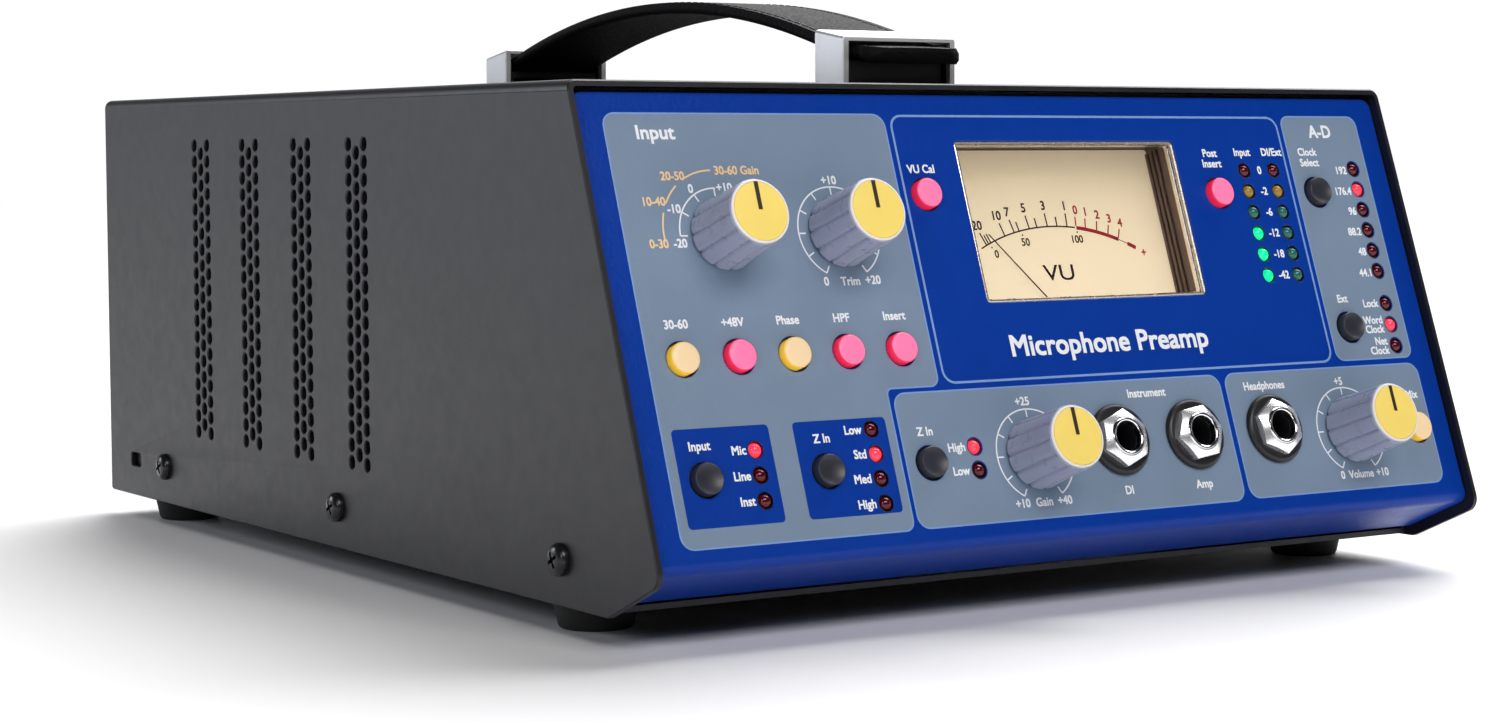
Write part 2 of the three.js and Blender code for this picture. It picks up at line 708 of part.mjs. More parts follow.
function rearJackBoard() {
  const face = REAR.y + REAR.thick;
  const boardY = face - 30;
  const { x: places, z } = REAR_JACKS;
  const bodies = places.flatMap((x) => [
    block([x - 7, x + 7], [boardY - 0.5, REAR.y - GAP], [z - 7.5, z + 7.5]),
    crossBar(JACK.thread, REAR.y - 1, face + 3.5, x, z, 12),
  ]);
  const clocks = CLOCK_SOCKETS.x.flatMap((x) => [
    block([x - 7, x + 7], [boardY - 0.5, REAR.y - GAP], [CLOCK_SOCKETS.z - 7, CLOCK_SOCKETS.z + 7]),
    crossBar(CLOCK_SOCKETS.radius, REAR.y - 1, face + 8, x, CLOCK_SOCKETS.z, 16),
  ]);
  const bores = places.map((x) => crossBar(JACK.bore, boardY + 4, face + 5, x, z, 8));
  const clockBores = CLOCK_SOCKETS.x.map((x) => cut(
    crossBar(3.7, face + 1, face + 9, x, CLOCK_SOCKETS.z, 16),
    crossBar(2.2, face, face + 10, x, CLOCK_SOCKETS.z, 12),
  ));
  const board = join(
    block([-24, 24], [boardY - 1.6, boardY], [20, 84]),
    block([20, 90], [boardY - 1.6, boardY], [20, 56]),
  );
  const shape = cut(join(board, ...bodies, ...clocks), ...bores, ...clockBores);
  return piece("rear_jack_board", shape, boardGreen);
}

// What the case holds
function mainBoard() {
  const board = block([-22, 98], [92, 240], [9, 10.6]);
  const posts = [[-16, 98], [92, 98], [-16, 234], [92, 234]].map(([x, y]) => bar(3, 3, 1.9, 9.5, 10, x, y));
  const chips = [[0, 130], [30, 130], [60, 130], [0, 170], [30, 170]].map(([x, y]) =>
    block([x - 7, x + 7], [y - 7, y + 7], [10, 13]),
  );
  const capacitors = [[0, 212], [20, 212], [40, 212], [60, 212]].map(([x, y]) => bar(7, 7, 10, 34, 10, x, y));
  const heatSink = block([78, 84], [120, 190], [10, 44]);
  return piece("main_board", join(board, ...posts, ...chips, ...capacitors, heatSink), boardGreen);
}

function mainsTransformer() {
  const profile = [[10, 3], [12, 1.9], [36, 1.9], [39, 5], [39, 33], [36, 36], [12, 36], [10, 34], [10, 3]];
  const ring = piece("mains_transformer", turned(profile, 28), copperWinding);
  ring.position.set(-64, 190, 0);
  return ring;
}

function inputTransformer() {
  const can = piece("input_transformer", bar(13, 13, 1.9, 36, 20), plainSteel);
  can.position.set(-66, 118, 0);
  return can;
}

const caseGroup = new THREE.Group();
caseGroup.add(
  topCover(),
  chassisTray(),
  ...coverScrews(),
  ...feet(),
  handleStrap(),
  handleCap("handle_cap_front", -1),
  handleCap("handle_cap_rear", 1),
  rearPanel(),
  mainsInlet(),
  powerRocker(),
  micSocket(),
  micSocketLatch(),
  outputSocket(),
  rearJackBoard(),
  mainBoard(),
  mainsTransformer(),
  inputTransformer(),
);

const panelGroup = new THREE.Group();
panelGroup.add(frontPanel(), ...knobs(), ...buttons(), ...frontSockets(), ...meter(), frontBoard());
panelGroup.position.set(0, PANEL.recess * Math.cos(SLOPE), -PANEL.recess * Math.sin(SLOPE));
panelGroup.rotation.x = Math.PI / 2 - SLOPE;
caseGroup.add(panelGroup);

// The case stands on its feet, and the origin is under the middle of everything.
const preamp = new THREE.Group();
preamp.add(caseGroup);
const extent = new THREE.Box3().setFromObject(preamp);
caseGroup.position.set(0, -(extent.min.y + extent.max.y) / 2, FOOT.height);

export default preamp;
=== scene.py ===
# The finished look of a desktop microphone preamp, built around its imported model.
import json
import math

import bmesh
import bpy
import mathutils
from mathutils import Matrix, Vector


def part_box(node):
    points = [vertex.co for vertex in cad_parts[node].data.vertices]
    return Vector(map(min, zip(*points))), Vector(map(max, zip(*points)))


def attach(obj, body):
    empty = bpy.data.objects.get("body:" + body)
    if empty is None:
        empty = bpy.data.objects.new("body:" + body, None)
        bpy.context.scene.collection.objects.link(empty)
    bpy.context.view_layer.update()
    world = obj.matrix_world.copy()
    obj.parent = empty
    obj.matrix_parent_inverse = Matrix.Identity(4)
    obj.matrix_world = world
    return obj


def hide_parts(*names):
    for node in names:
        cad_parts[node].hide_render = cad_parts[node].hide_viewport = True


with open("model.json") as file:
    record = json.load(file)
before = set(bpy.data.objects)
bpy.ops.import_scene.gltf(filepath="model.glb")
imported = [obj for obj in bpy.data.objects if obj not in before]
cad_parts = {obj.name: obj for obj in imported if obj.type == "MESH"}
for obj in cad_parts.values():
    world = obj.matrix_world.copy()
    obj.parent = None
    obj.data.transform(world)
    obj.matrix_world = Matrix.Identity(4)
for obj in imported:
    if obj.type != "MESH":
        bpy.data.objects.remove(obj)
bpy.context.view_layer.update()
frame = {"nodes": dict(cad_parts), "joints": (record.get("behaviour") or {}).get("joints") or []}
scene = bpy.context.scene

# Case lengths are in millimetres: x across, y back from the foot of the sloping front,
# z up from the lower edge.
WIDTH = 220.0
HEIGHT = 104.7
DEPTH = 289.4
SETBACK = 37.6
SHEET = 1.3
BEND = 2.2
NOSE = (3.1, 8.7)
CHIN = 22.6
HALF = WIDTH / 2
SCREW_Y = (41, 145.5, 250)
SCREW_Z = 9.5

joints = {j["name"]: j for j in frame["joints"]}
cover_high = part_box("top_cover")[1]
front_foot = (0, cover_high.y - DEPTH / 1000, cover_high.z - HEIGHT / 1000)
CASE = Matrix.Translation(front_foot) @ Matrix.Scale(0.001, 4)
SLOPE = math.asin(joints["gain_turn"]["axis"][2])
# On the panel, x is across, v is up the slope and h stands out of its face, in millimetres.
RECESS = 2.0
PANEL_FACE = Matrix.Translation((0, RECESS * math.cos(SLOPE), -RECESS * math.sin(SLOPE)))
PANEL = CASE @ PANEL_FACE @ Matrix.Rotation(math.pi / 2 - SLOPE, 4, "X")


# ---------------------------------------------------------------- materials
MIX_FACTOR, MIX_A, MIX_B, MIX_COLOR = 0, 6, 7, 2


class Look:
    """A node material: a base colour that varies a little, a roughness that varies, and a fine bump."""

    def __init__(self, name, color, rough, metal=0.0, mottle=0.08, mottle_scale=45, **sockets):
        self.material = bpy.data.materials.new(name)
        self.material.use_nodes = True
        self.tree = self.material.node_tree
        self.shader = self.tree.nodes["Principled BSDF"]
        self.coords = self.add("ShaderNodeTexCoord").outputs["Object"]
        self.normal = None
        self.shader.inputs["Metallic"].default_value = metal
        self.shader.inputs["Roughness"].default_value = rough
        for socket, value in sockets.items():
            self.shader.inputs[socket.replace("_", " ")].default_value = value
        mix = self.add("ShaderNodeMix", {
            MIX_A: (*[c * (1 - mottle) for c in color], 1),
            MIX_B: (*[min(1, c * (1 + mottle)) for c in color], 1),
        }, data_type="RGBA")
        self.link(self.noise(mottle_scale, 3), mix.inputs[MIX_FACTOR])
        self.link(mix.outputs[MIX_COLOR], self.shader.inputs["Base Color"])

    def add(self, kind, sockets=(), **settings):
        """A new node with its settings and the values of its input sockets."""
        node = self.tree.nodes.new(kind)
        for key, value in settings.items():
            setattr(node, key, value)
        for socket, value in dict(sockets).items():
            node.inputs[socket].default_value = value
        return node

    def link(self, source, target):
        self.tree.links.new(source, target)

    def mapped(self, stretch):
        mapping = self.add("ShaderNodeMapping", {"Scale": stretch})
        self.link(self.coords, mapping.inputs["Vector"])
        return mapping.outputs["Vector"]

    def noise(self, scale, detail=2, stretch=None, rough=0.5):
        node = self.add("ShaderNodeTexNoise", {"Scale": scale, "Detail": detail, "Roughness": rough})
        self.link(self.mapped(stretch) if stretch else self.coords, node.inputs["Vector"])
        return node.outputs["Fac"]

    def cells(self, scale):
        node = self.add("ShaderNodeTexVoronoi", {"Scale": scale}, feature="F1")
        self.link(self.coords, node.inputs["Vector"])
        return node.outputs["Distance"]

    def bump(self, height, strength, distance):
        node = self.add("ShaderNodeBump", {"Strength": strength, "Distance": distance})
        self.link(height, node.inputs["Height"])
        if self.normal:
            self.link(self.normal, node.inputs["Normal"])
        self.normal = node.outputs["Normal"]
        self.link(self.normal, self.shader.inputs["Normal"])

    def roughness(self, height, low, high):
        node = self.add("ShaderNodeMapRange", {"To Min": low, "To Max": high})
        self.link(height, node.inputs["Value"])
        self.link(node.outputs["Result"], self.shader.inputs["Roughness"])

    def grained(self, patches, low, high, grain, strength, distance, **more):
        """The usual finish: a roughness that varies in patches, and a fine grain."""
        self.roughness(self.noise(patches), low, high)
        self.bump(self.noise(grain, **more), strength, distance)
        return self.material


def powder_coat():
    look = Look("powder_coat", (0.007, 0.007, 0.011), 0.42, mottle=0.12)
    return look.grained(260, 0.36, 0.5, 1500, 0.3, 0.00006)


def orange_peel(name, color, **sockets):
    look = Look(name, color, 0.34, mottle=0.05, mottle_scale=70, **sockets)
    return look.grained(300, 0.28, 0.42, 900, 0.55, 0.00016, rough=0.6)


def moulded(name, color, rough):
    look = Look(name, color, rough, mottle=0.05, mottle_scale=120)
    return look.grained(420, rough - 0.06, rough + 0.08, 1800, 0.15, 0.00003)


def plated(name, color=(0.86, 0.86, 0.87), rough=0.1, metal=1.0):
    look = Look(name, color, rough, metal=metal, mottle=0.03, mottle_scale=150)
    return look.grained(500, rough, rough + 0.12, 700, 0.1, 0.00002)


def brushed(name, color, rough, stretch, metal=1.0):
    look = Look(name, color, rough, metal=metal, mottle=0.04, mottle_scale=90)
    lines = look.noise(1400, 3, stretch)
    look.roughness(lines, rough - 0.08, rough + 0.12)
    look.bump(lines, 0.25, 0.00002)
    return look.material


def print_ink(name, color):
    look = Look(name, color, 0.45, mottle=0.04, mottle_scale=400)
    look.bump(look.noise(1600, 1), 0.2, 0.00003)
    return look.material


def leather():
    look = Look(
        "strap_leather", (0.003, 0.003, 0.004), 0.5, mottle=0.25, mottle_scale=300,
        Specular_IOR_Level=0.14,
    )
    grain = look.cells(1100)
    look.roughness(grain, 0.80, 0.62)
    look.bump(look.noise(500, 4), 0.3, 0.0001)
    look.bump(grain, 0.6, 0.00022)
    return look.material


def rubber():
    look = Look("foot_rubber", (0.014, 0.014, 0.014), 0.75, mottle=0.2, mottle_scale=200)
    look.bump(look.noise(1200, 3), 0.4, 0.00006)
    return look.material


def lit_plastic(name, color, glow, rough=0.3):
    look = Look(
        name, color, rough, mottle=0.04, mottle_scale=300, Emission_Color=(*color, 1),
        Emission_Strength=glow, Subsurface_Weight=0.3, Subsurface_Radius=(0.002, 0.001, 0.001),
    )
    look.bump(look.noise(1500), 0.12, 0.00003)
    return look.material


def clear(name):
    return Look(name, (1, 1, 1), 0.02, mottle=0.01, Transmission_Weight=1.0, IOR=1.49).material


def dial_paper():
    """Card with a lamp below it: it glows more the lower on the dial."""
    look = Look(
        "dial_paper", (0.88, 0.72, 0.47), 0.7, mottle=0.03, mottle_scale=30,
        Emission_Color=(1.0, 0.84, 0.60, 1),
    )
    place = look.add("ShaderNodeSeparateXYZ")
    look.link(look.coords, place.inputs[0])
    glow = look.add("ShaderNodeMapRange", {
        "From Min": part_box("meter_dial")[1].z, "From Max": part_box("meter_dial")[0].z,
        "To Min": 0.25, "To Max": 0.80,
    })
    look.link(place.outputs["Z"], glow.inputs["Value"])
    look.link(glow.outputs["Result"], look.shader.inputs["Emission Strength"])
    look.bump(look.noise(1500, 3), 0.1, 0.00004)
    return look.material


POWDER_AND_SHADE = powder_coat()
BLUE = orange_peel("panel_blue", (0.001, 0.038, 0.310), Specular_IOR_Level=0.2)
GREY_BLUE = orange_peel("panel_grey_blue", (0.195, 0.266, 0.368), Specular_IOR_Level=0.35)
LINE_BLUE = print_ink("line_blue", (0.20, 0.34, 0.66))
WHITE_INK = print_ink("white_ink", (0.86, 0.88, 0.92))
AMBER_INK = print_ink("amber_ink", (0.90, 0.62, 0.32))
BLACK_INK = print_ink("black_ink", (0.012, 0.008, 0.006))
RED_INK = print_ink("red_ink", (0.55, 0.015, 0.035))
KNOB = moulded("knob_plastic", (0.32, 0.345, 0.46), 0.28)
YELLOW = moulded("knob_cap_plastic", (0.96, 0.72, 0.16), 0.45)
PALE_RIM = moulded("knob_cap_rim", (0.84, 0.81, 0.76), 0.45)
POINTER = print_ink("pointer_brown", (0.035, 0.018, 0.010))
BLACK = moulded("black_plastic", (0.008, 0.008, 0.010), 0.38)
# A black key whose colour is lifted and blued above black plastic as painted sheen on its dished top.
BLACK_KEY_AND_SHEEN = moulded("black_key", (0.026, 0.027, 0.038), 0.36)
PINK_FACE = lit_plastic("pink_face", (1.0, 0.17, 0.34), 0.42)
PINK_SIDE = lit_plastic("pink_side", (0.85, 0.02, 0.08), 0.35)
AMBER_FACE = lit_plastic("amber_face", (0.80, 0.60, 0.36), 0.26)
AMBER_SIDE = lit_plastic("amber_side", (0.90, 0.55, 0.05), 0.30)
RED_ON = lit_plastic("red_on", (1.0, 0.035, 0.07), 1.0, 0.12)
# An unlit lamp's small glow is painted light.
RED_OFF = lit_plastic("red_off", (0.090, 0.001, 0.008), 0.05, 0.08)
GREEN_ON = lit_plastic("green_on", (0.0, 0.80, 0.24), 1.1, 0.12)
# The small glow of these unlit lamps is painted light.
GREEN_OFF = lit_plastic("green_off", (0.018, 0.14, 0.12), 0.08, 0.08)
AMBER_OFF = lit_plastic("amber_off", (0.34, 0.20, 0.03), 0.08, 0.08)
METAL_CAP = brushed("cap_metal", (0.66, 0.66, 0.67), 0.42, (1, 1, 0.06), metal=0.65)
CHROME = plated("bright_plate")
NUT_PLATE = plated("nut_plate", (0.95, 0.95, 0.96), 0.2, metal=0.8)
STEEL = brushed("plain_steel", (0.55, 0.55, 0.56), 0.38, (0.08, 1, 1))
SCREW_BLACK = moulded("screw_black", (0.010, 0.010, 0.011), 0.25)
LEATHER = leather()
THREAD = moulded("thread", (0.010, 0.010, 0.012), 0.6)
RUBBER = rubber()
CLEAR = clear("clear_acrylic")
# The window's flange and rim are clear plastic; this bright champagne metal is a painted reflection of the
# light caught in the clear edge.
WINDOW_EDGE_GLINT = plated("window_edge", (0.88, 0.81, 0.72), 0.2, metal=0.8)
DIAL = dial_paper()
BOARD = moulded("board_green", (0.010, 0.095, 0.035), 0.4)
TAPE = moulded("winding_tape", (0.55, 0.36, 0.04), 0.35)
# The meter's inner walls are black plastic; their warm brown is painted light from the dial lamp.
INNER_PAINTED_LAMPLIGHT = moulded("meter_inner", (0.15, 0.095, 0.080), 0.35)


# ---------------------------------------------------------------- shape tools
TINY = 1e-6
SHARPEST = 0.3
SHARP_ANGLE = 32


def circle(x, y, radius, count, start=0.0):
    steps = [start + math.tau * i / count for i in range(count)]
    return [(x + radius * math.cos(a), y + radius * math.sin(a)) for a in steps]


def rounded(corners, radii, steps=6):
    """The outline through the corners, each rounded by a true arc."""
    points = []
    count = len(corners)
    for i, corner in enumerate(corners):
        radius = radii[i] if isinstance(radii, (list, tuple)) else radii
        here = Vector(corner)
        if radius <= 0:
            points.append(tuple(here))
            continue
        back = (Vector(corners[i - 1]) - here).normalized()
        ahead = (Vector(corners[(i + 1) % count]) - here).normalized()
        half = back.angle(ahead) / 2
        reach = radius / math.tan(half)
        middle = here + (back + ahead).normalized() * (radius / math.sin(half))
        first = here + back * reach - middle
        last = here + ahead * reach - middle
        turn = math.pi - 2 * half
        for k in range(steps + 1):
            t = k / steps
            blend = (first * math.sin((1 - t) * turn) + last * math.sin(t * turn)) / math.sin(turn)
            points.append(tuple(middle + blend))
    return points


def box_outline(x0, x1, y0, y1, radius, steps=6):
    return rounded([(x0, y0), (x1, y0), (x1, y1), (x0, y1)], radius, steps)


def inset(points, distance, keep=None):
    """The outline moved inward by the distance; edges that keep() accepts stay where they are."""
    doubled = sum(a[0] * b[1] - b[0] * a[1] for a, b in zip(points, points[1:] + points[:1]))
    sign = 1 if doubled > 0 else -1
    moved = []
    for i, point in enumerate(points):
        before, after = points[i - 1], points[(i + 1) % len(points)]
        normals = []
        for a, b in ((before, point), (point, after)):
            edge = Vector(b) - Vector(a)
            if edge.length > 1e-9 and not (keep and keep(a, b)):
                normals.append(Vector((-edge.y, edge.x)).normalized() * sign)
        if len(normals) == 2:
            total = normals[0] + normals[1]
            shift = total * (distance / max(SHARPEST, total.length_squared / 2))
        else:
            shift = normals[0] * distance if normals else Vector((0, 0))
        moved.append((point[0] + shift.x, point[1] + shift.y))
    return moved


def upright(x, y, h):
    """The usual place of an outline's point at height h."""
    return x, y, h


def bridge(bm, rows, closed=True):
    """Faces between each row of corners and the next."""
    for low, high in zip(rows, rows[1:]):
        for i in range(len(low) if closed else len(low) - 1):
            j = (i + 1) % len(low)
            bm.faces.new((low[i], low[j], high[j], high[i]))


def fill(bm, outlines, h, shape=upright):
    """Flat faces between an outline and the holes in it, at height h."""
    loops = [[Vector((x, y, 0)) for x, y in outline] for outline in outlines]
    flat = [bm.verts.new(shape(p.x, p.y, h)) for loop in loops for p in loop]
    for triangle in mathutils.geometry.tessellate_polygon(loops):
        if len(set(triangle)) == 3:
            bm.faces.new([flat[i] for i in triangle])


def wall(bm, rings, shape=upright):
    """Side faces between rings of (outline, height)."""
    bridge(bm, [[bm.verts.new(shape(x, y, h)) for x, y in outline] for outline, h in rings])


def sheet(bm, outline, holes, front, back, edge=0.0, shape=upright, keep=None):
    """A plate with holes; its front edge and the rims of its holes are broken by the edge size."""
    inner = inset(outline, edge, keep) if edge else outline
    wide = [inset(hole, -edge) if edge else hole for hole in holes]
    fill(bm, [inner, *wide], front, shape)
    fill(bm, [outline, *holes], back, shape)
    step = front + (edge if back > front else -edge)
    wall(bm, [(inner, front), (outline, step), (outline, back)], shape)
    for hole, rim in zip(holes, wide):
        wall(bm, [(rim, front), (hole, step), (hole, back)], shape)


def lathe(bm, profile, count, centre=(0, 0), ripple=None):
    """Turns a profile of (radius, height) points about an upright axis."""
    x, y = centre
    rows = []
    for r, h in profile:
        if r < TINY:
            rows.append([bm.verts.new((x, y, h))])
            continue
        row = []
        for i in range(count):
            angle = math.tau * i / count
            radius = ripple(angle, r, h) if ripple else r
            row.append(bm.verts.new((x + radius * math.cos(angle), y + radius * math.sin(angle), h)))
        rows.append(row)
    for low, high in zip(rows, rows[1:]):
        for i in range(count):
            j = (i + 1) % count
            ring = [low[i % len(low)], low[j % len(low)], high[j % len(high)], high[i % len(high)]]
            face = list(dict.fromkeys(ring))
            if len(face) > 2:
                bm.faces.new(face)


def block(bm, x, y, z, edge=0.0):
    """A box between the pairs of limits; its edges are rounded by the edge size."""
    corners = [bm.verts.new((a, b, c)) for c in z for b in y for a in x]
    for quad in ((0, 2, 3, 1), (4, 5, 7, 6), (0, 1, 5, 4), (2, 6, 7, 3), (0, 4, 6, 2), (1, 3, 7, 5)):
        bm.faces.new([corners[i] for i in quad])
    if edge:
        edges = {e for v in corners for e in v.link_edges}
        bmesh.ops.bevel(bm, geom=list(edges), offset=edge, segments=2, profile=0.6, affect="EDGES")


def arc_band(bm, x, y, radius, width, start, end, h, step=3.0):
    """A flat band along an arc; angles are clockwise from straight up, in degrees."""
    count = max(2, int(abs(end - start) / step) + 1)
    rows = []
    for i in range(count + 1):
        angle = math.radians(start + (end - start) * i / count)
        rows.append([
            bm.verts.new((x + r * math.sin(angle), y + r * math.cos(angle), h))
            for r in (radius - width / 2, radius + width / 2)
        ])
    for low, high in zip(rows, rows[1:]):
        bm.faces.new((low[0], high[0], high[1], low[1]))


def stroke(bm, start, end, width, h):
    a, b = Vector(start), Vector(end)
    side = Vector((a.y - b.y, b.x - a.x)).normalized() * (width / 2)
    points = [a + side, a - side, b - side, b + side]
    bm.faces.new([bm.verts.new((p.x, p.y, h)) for p in points])


def tick(bm, x, y, angle, inner, outer, width, h):
    turn = math.radians(angle)
    way = Vector((math.sin(turn), math.cos(turn)))
    stroke(bm, Vector((x, y)) + way * inner, Vector((x, y)) + way * outer, width, h)


def thicken(bm, depth=0.02):
    """Gives flat printing its small thickness."""
    bmesh.ops.recalc_face_normals(bm, faces=bm.faces)
    for face in bm.faces:
        if face.normal.z < 0:
            face.normal_flip()
    made = bmesh.ops.extrude_face_region(bm, geom=list(bm.faces))
    lifted = [v for v in made["geom"] if isinstance(v, bmesh.types.BMVert)]
    bmesh.ops.translate(bm, verts=lifted, vec=(0, 0, depth))


def letter_mesh(text):
    curve = bpy.data.curves.new("letters", "FONT")
    curve.body = text
    curve.resolution_u = 3
    holder = bpy.data.objects.new("letters", curve)
    scene.collection.objects.link(holder)
    graph = bpy.context.evaluated_depsgraph_get()
    mesh = bpy.data.meshes.new_from_object(holder.evaluated_get(graph))
    bpy.data.objects.remove(holder)
    bpy.data.curves.remove(curve)
    return mesh


def extent(mesh):
    xs = [v.co.x for v in mesh.vertices]
    ys = [v.co.y for v in mesh.vertices]
    return min(xs), max(xs), min(ys), max(ys)


CAPITAL = extent(letter_mesh("H"))[3]
SQUEEZE = 0.94
BOLD_SHIFTS = ((-1, -1), (1, -1), (1, 1), (-1, 1))
LAYER = 0.004


def words(bm, text, x, v, height, h, bold, align=0.5, width=None):
    """Prints text with its baseline at v, from left, centre or right (align 0, 0.5, 1).
    The letters are layers, each a little to one side and a little higher than the last."""
    scale = height / CAPITAL
    letters = letter_mesh(text)
    x0, x1, _, _ = extent(letters)
    across = width / (x1 - x0) if width else scale * SQUEEZE
    for layer, (dx, dv) in enumerate(BOLD_SHIFTS):
        spot = (x - (x0 + (x1 - x0) * align) * across + dx * bold, v + dv * bold, h + LAYER * layer)
        mesh = letters.copy()
        mesh.transform(Matrix.Translation(spot) @ Matrix.Diagonal((across, scale, 1, 1)))
        bm.from_mesh(mesh)
        bpy.data.meshes.remove(mesh)
    bpy.data.meshes.remove(letters)


def smooth(mesh, sharp=SHARP_ANGLE):
    mesh.shade_smooth()
    mesh.set_sharp_from_angle(angle=math.radians(sharp))


def show(name, bm, place, body, slot, look, stands_for=(), sharp=SHARP_ANGLE, weld=1e-4):
    """Makes a piece from the mesh, in the row frame, riding on its body."""
    if weld:
        bmesh.ops.remove_doubles(bm, verts=bm.verts, dist=weld)
    bmesh.ops.recalc_face_normals(bm, faces=bm.faces)
    bmesh.ops.transform(bm, matrix=place, verts=bm.verts)
    mesh = bpy.data.meshes.new(name)
    bm.to_mesh(mesh)
    bm.free()
    smooth(mesh, sharp)
    piece = bpy.data.objects.new(name, mesh)
    scene.collection.objects.link(piece)
    mesh.materials.append(look)
    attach(piece, body)
    if stands_for:
        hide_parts(*stands_for)
    return piece


def turned(name, profile, count, place, body, slot, look, **more):
    """A piece on the panel, turned from one profile."""
    bm = bmesh.new()
    lathe(bm, profile, count, place)
    show(name, bm, PANEL, body, slot, look, **more)


def paint_node(node, look):
    """A CAD node that stays as it is takes a finished material."""
    mesh = frame["nodes"][node].data
    mesh.materials.clear()
    mesh.materials.append(look)
    smooth(mesh)


def at(x, v):
    """A place on the panel, from its left edge across and up the slope."""
    return x - HALF, v


def spots(**places):
    return {name: at(*place) for name, place in places.items()}

def at(x, v):
    """A place on the panel, from its left edge across and up the slope."""
    return x - HALF, v


# ---------------------------------------------------------------- cover
def front_y(z):
    """Where the sloping front edge is at height z."""
    share = (z - NOSE[1]) / (HEIGHT - NOSE[1])
    return NOSE[0] + (SETBACK - NOSE[0]) * share


def vent_holes():
    """Upright bands of small round holes, three staggered columns to a band."""
    bands, columns, pitch, spacing = 4, 3, 4.0, 30.0
    middle, low, high, radius = 178.5, 19.0, 94.0, 1.5
    holes = []
    for band in range(bands):
        for column in range(columns):
            y = middle + (band - (bands - 1) / 2) * spacing + (column - 1) * pitch
            z = low + radius + (pitch / 2 if column % 2 else 0)
            while z <= high - radius:
                holes.append(circle(y, z, radius, 12))
                z += pitch
    return holes


def build_cover():
    bm = bmesh.new()
    top = HEIGHT - BEND
    edge = 0.28
    corners = [(CHIN, 0), (DEPTH, 0), (DEPTH, top), (front_y(top), top), NOSE]
    outline = rounded(corners, [3, 1, 0, 0, 3.2])
    screws = [circle(y, SCREW_Z, 1.9, 16) for y in SCREW_Y]
    lock = box_outline(267.5, 274.5, 7.9, 11.4, 1.0, 3)
    for side in (-1, 1):
        holes = vent_holes() + screws + ([lock] if side < 0 else [])
        sheet(
            bm, outline, holes, HALF, HALF - SHEET, edge,
            shape=lambda y, z, x, side=side: (side * x, y, z),
            keep=lambda a, b: min(a[1], b[1]) > top - TINY,
        )
    build_cover_top(bm, top, edge)
    show("cover", bm, CASE, "case", "cover_paint", POWDER_AND_SHADE, stands_for=["top_cover"], sharp=30, weld=2e-3)


def build_cover_top(bm, top, edge):
    """The bent top: one section across, swept from the sloping front edge to the back."""
    steps = 8

    def section(bend):
        turns = [math.pi / 2 * i / steps for i in range(steps + 1)]
        half = [(HALF - BEND + bend * math.cos(a), top + bend * math.sin(a)) for a in turns]
        return half + [(-x, z) for x, z in reversed(half)]

    def rows(points, lift, end):
        return [[bm.verts.new((x, front_y(z) + lift, z)) for x, z in points],
                [bm.verts.new((x, end, z)) for x, z in points]]

    outer = section(BEND)
    skin = rows(outer, edge, DEPTH - edge)
    lining = rows(section(BEND - SHEET), 0, DEPTH)
    rim = rows(inset_section(outer, edge), 0, DEPTH)
    rims = ((skin[0], rim[0]), (rim[0], lining[0]), (skin[1], rim[1]), (rim[1], lining[1]))
    for pair in (skin, lining, *rims):
        bridge(bm, pair, closed=False)


def inset_section(points, distance):
    """The bent section moved inward by the distance."""
    moved = []
    for x, z in points:
        corner = Vector((math.copysign(HALF - BEND, x), HEIGHT - BEND))
        way = Vector((x, z)) - corner
        if abs(x) <= HALF - BEND + TINY:
            way = Vector((0, 1))
        moved.append((x - way.normalized().x * distance, z - way.normalized().y * distance))
    return moved


# ---------------------------------------------------------------- control panel
PANEL_HALF = HALF - SHEET - 0.3
PANEL_LOW = 11.4
PANEL_HIGH = 109.5
BUTTON_HOLE = 3.6
LED_HOLE = 1.85
KNOB_HOLE = 4.2
SOCKET_HOLE = 4.8

# Places on the panel: across from its left edge, and up the slope.
KNOBS = spots(gain=(30.6, 79.1), trim=(58.8, 79.1), instrument=(96.9, 29.6), phones=(187.4, 29.9))
PINK = spots(
    phantom=(28.9, 53.8), filter=(55.1, 53.8), insert=(68.3, 53.8), meter_level=(82.9, 87.1),
    meter_source=(164.6, 86.5),
)
AMBER = spots(pad=(15.7, 53.8), phase=(42.0, 53.8), mix=(208.2, 29.4))
DARK = spots(
    source=(15.8, 29.4), impedance=(44.4, 29.4), instrument_impedance=(69.9, 29.5), clock=(194.6, 86.4),
    external_clock=(194.6, 53.8),
)
SOCKETS = spots(di_socket=(120.0, 31.4), amp_socket=(141.1, 31.4), headphone_socket=(164.4, 31.4))
BUTTONS = [*PINK.values(), *AMBER.values(), *DARK.values()]


def column(x, top, step, *looks):
    return [(*at(x, top - i * step), look) for i, look in enumerate(looks)]


LIGHTS = (
    column(28.6, 34.8, 5.15, RED_ON, RED_OFF, RED_OFF)
    + column(57.0, 37.4, 5.13, RED_OFF, RED_ON, RED_OFF, RED_OFF)
    + column(81.8, 32.3, 5.0, RED_ON, RED_OFF)
    + column(174.0, 91.9, 5.0, RED_OFF, AMBER_OFF, GREEN_OFF, GREEN_ON, GREEN_ON, GREEN_ON)
    + column(182.9, 91.9, 5.0, RED_OFF, AMBER_OFF, GREEN_OFF, GREEN_OFF, GREEN_OFF, GREEN_OFF)
    + column(208.0, 92.0, 5.0, RED_OFF, RED_ON, RED_OFF, RED_OFF, RED_OFF, RED_OFF)
    + column(208.0, 59.15, 5.08, RED_OFF, RED_ON, RED_OFF)
)

WINDOW = (at(93.2, 62.95), at(154.5, 99.1))


def window_outline(grow=0.0):
    (x0, v0), (x1, v1) = WINDOW
    return box_outline(x0 - grow, x1 + grow, v0 - grow, v1 + grow, 1.0, 4)


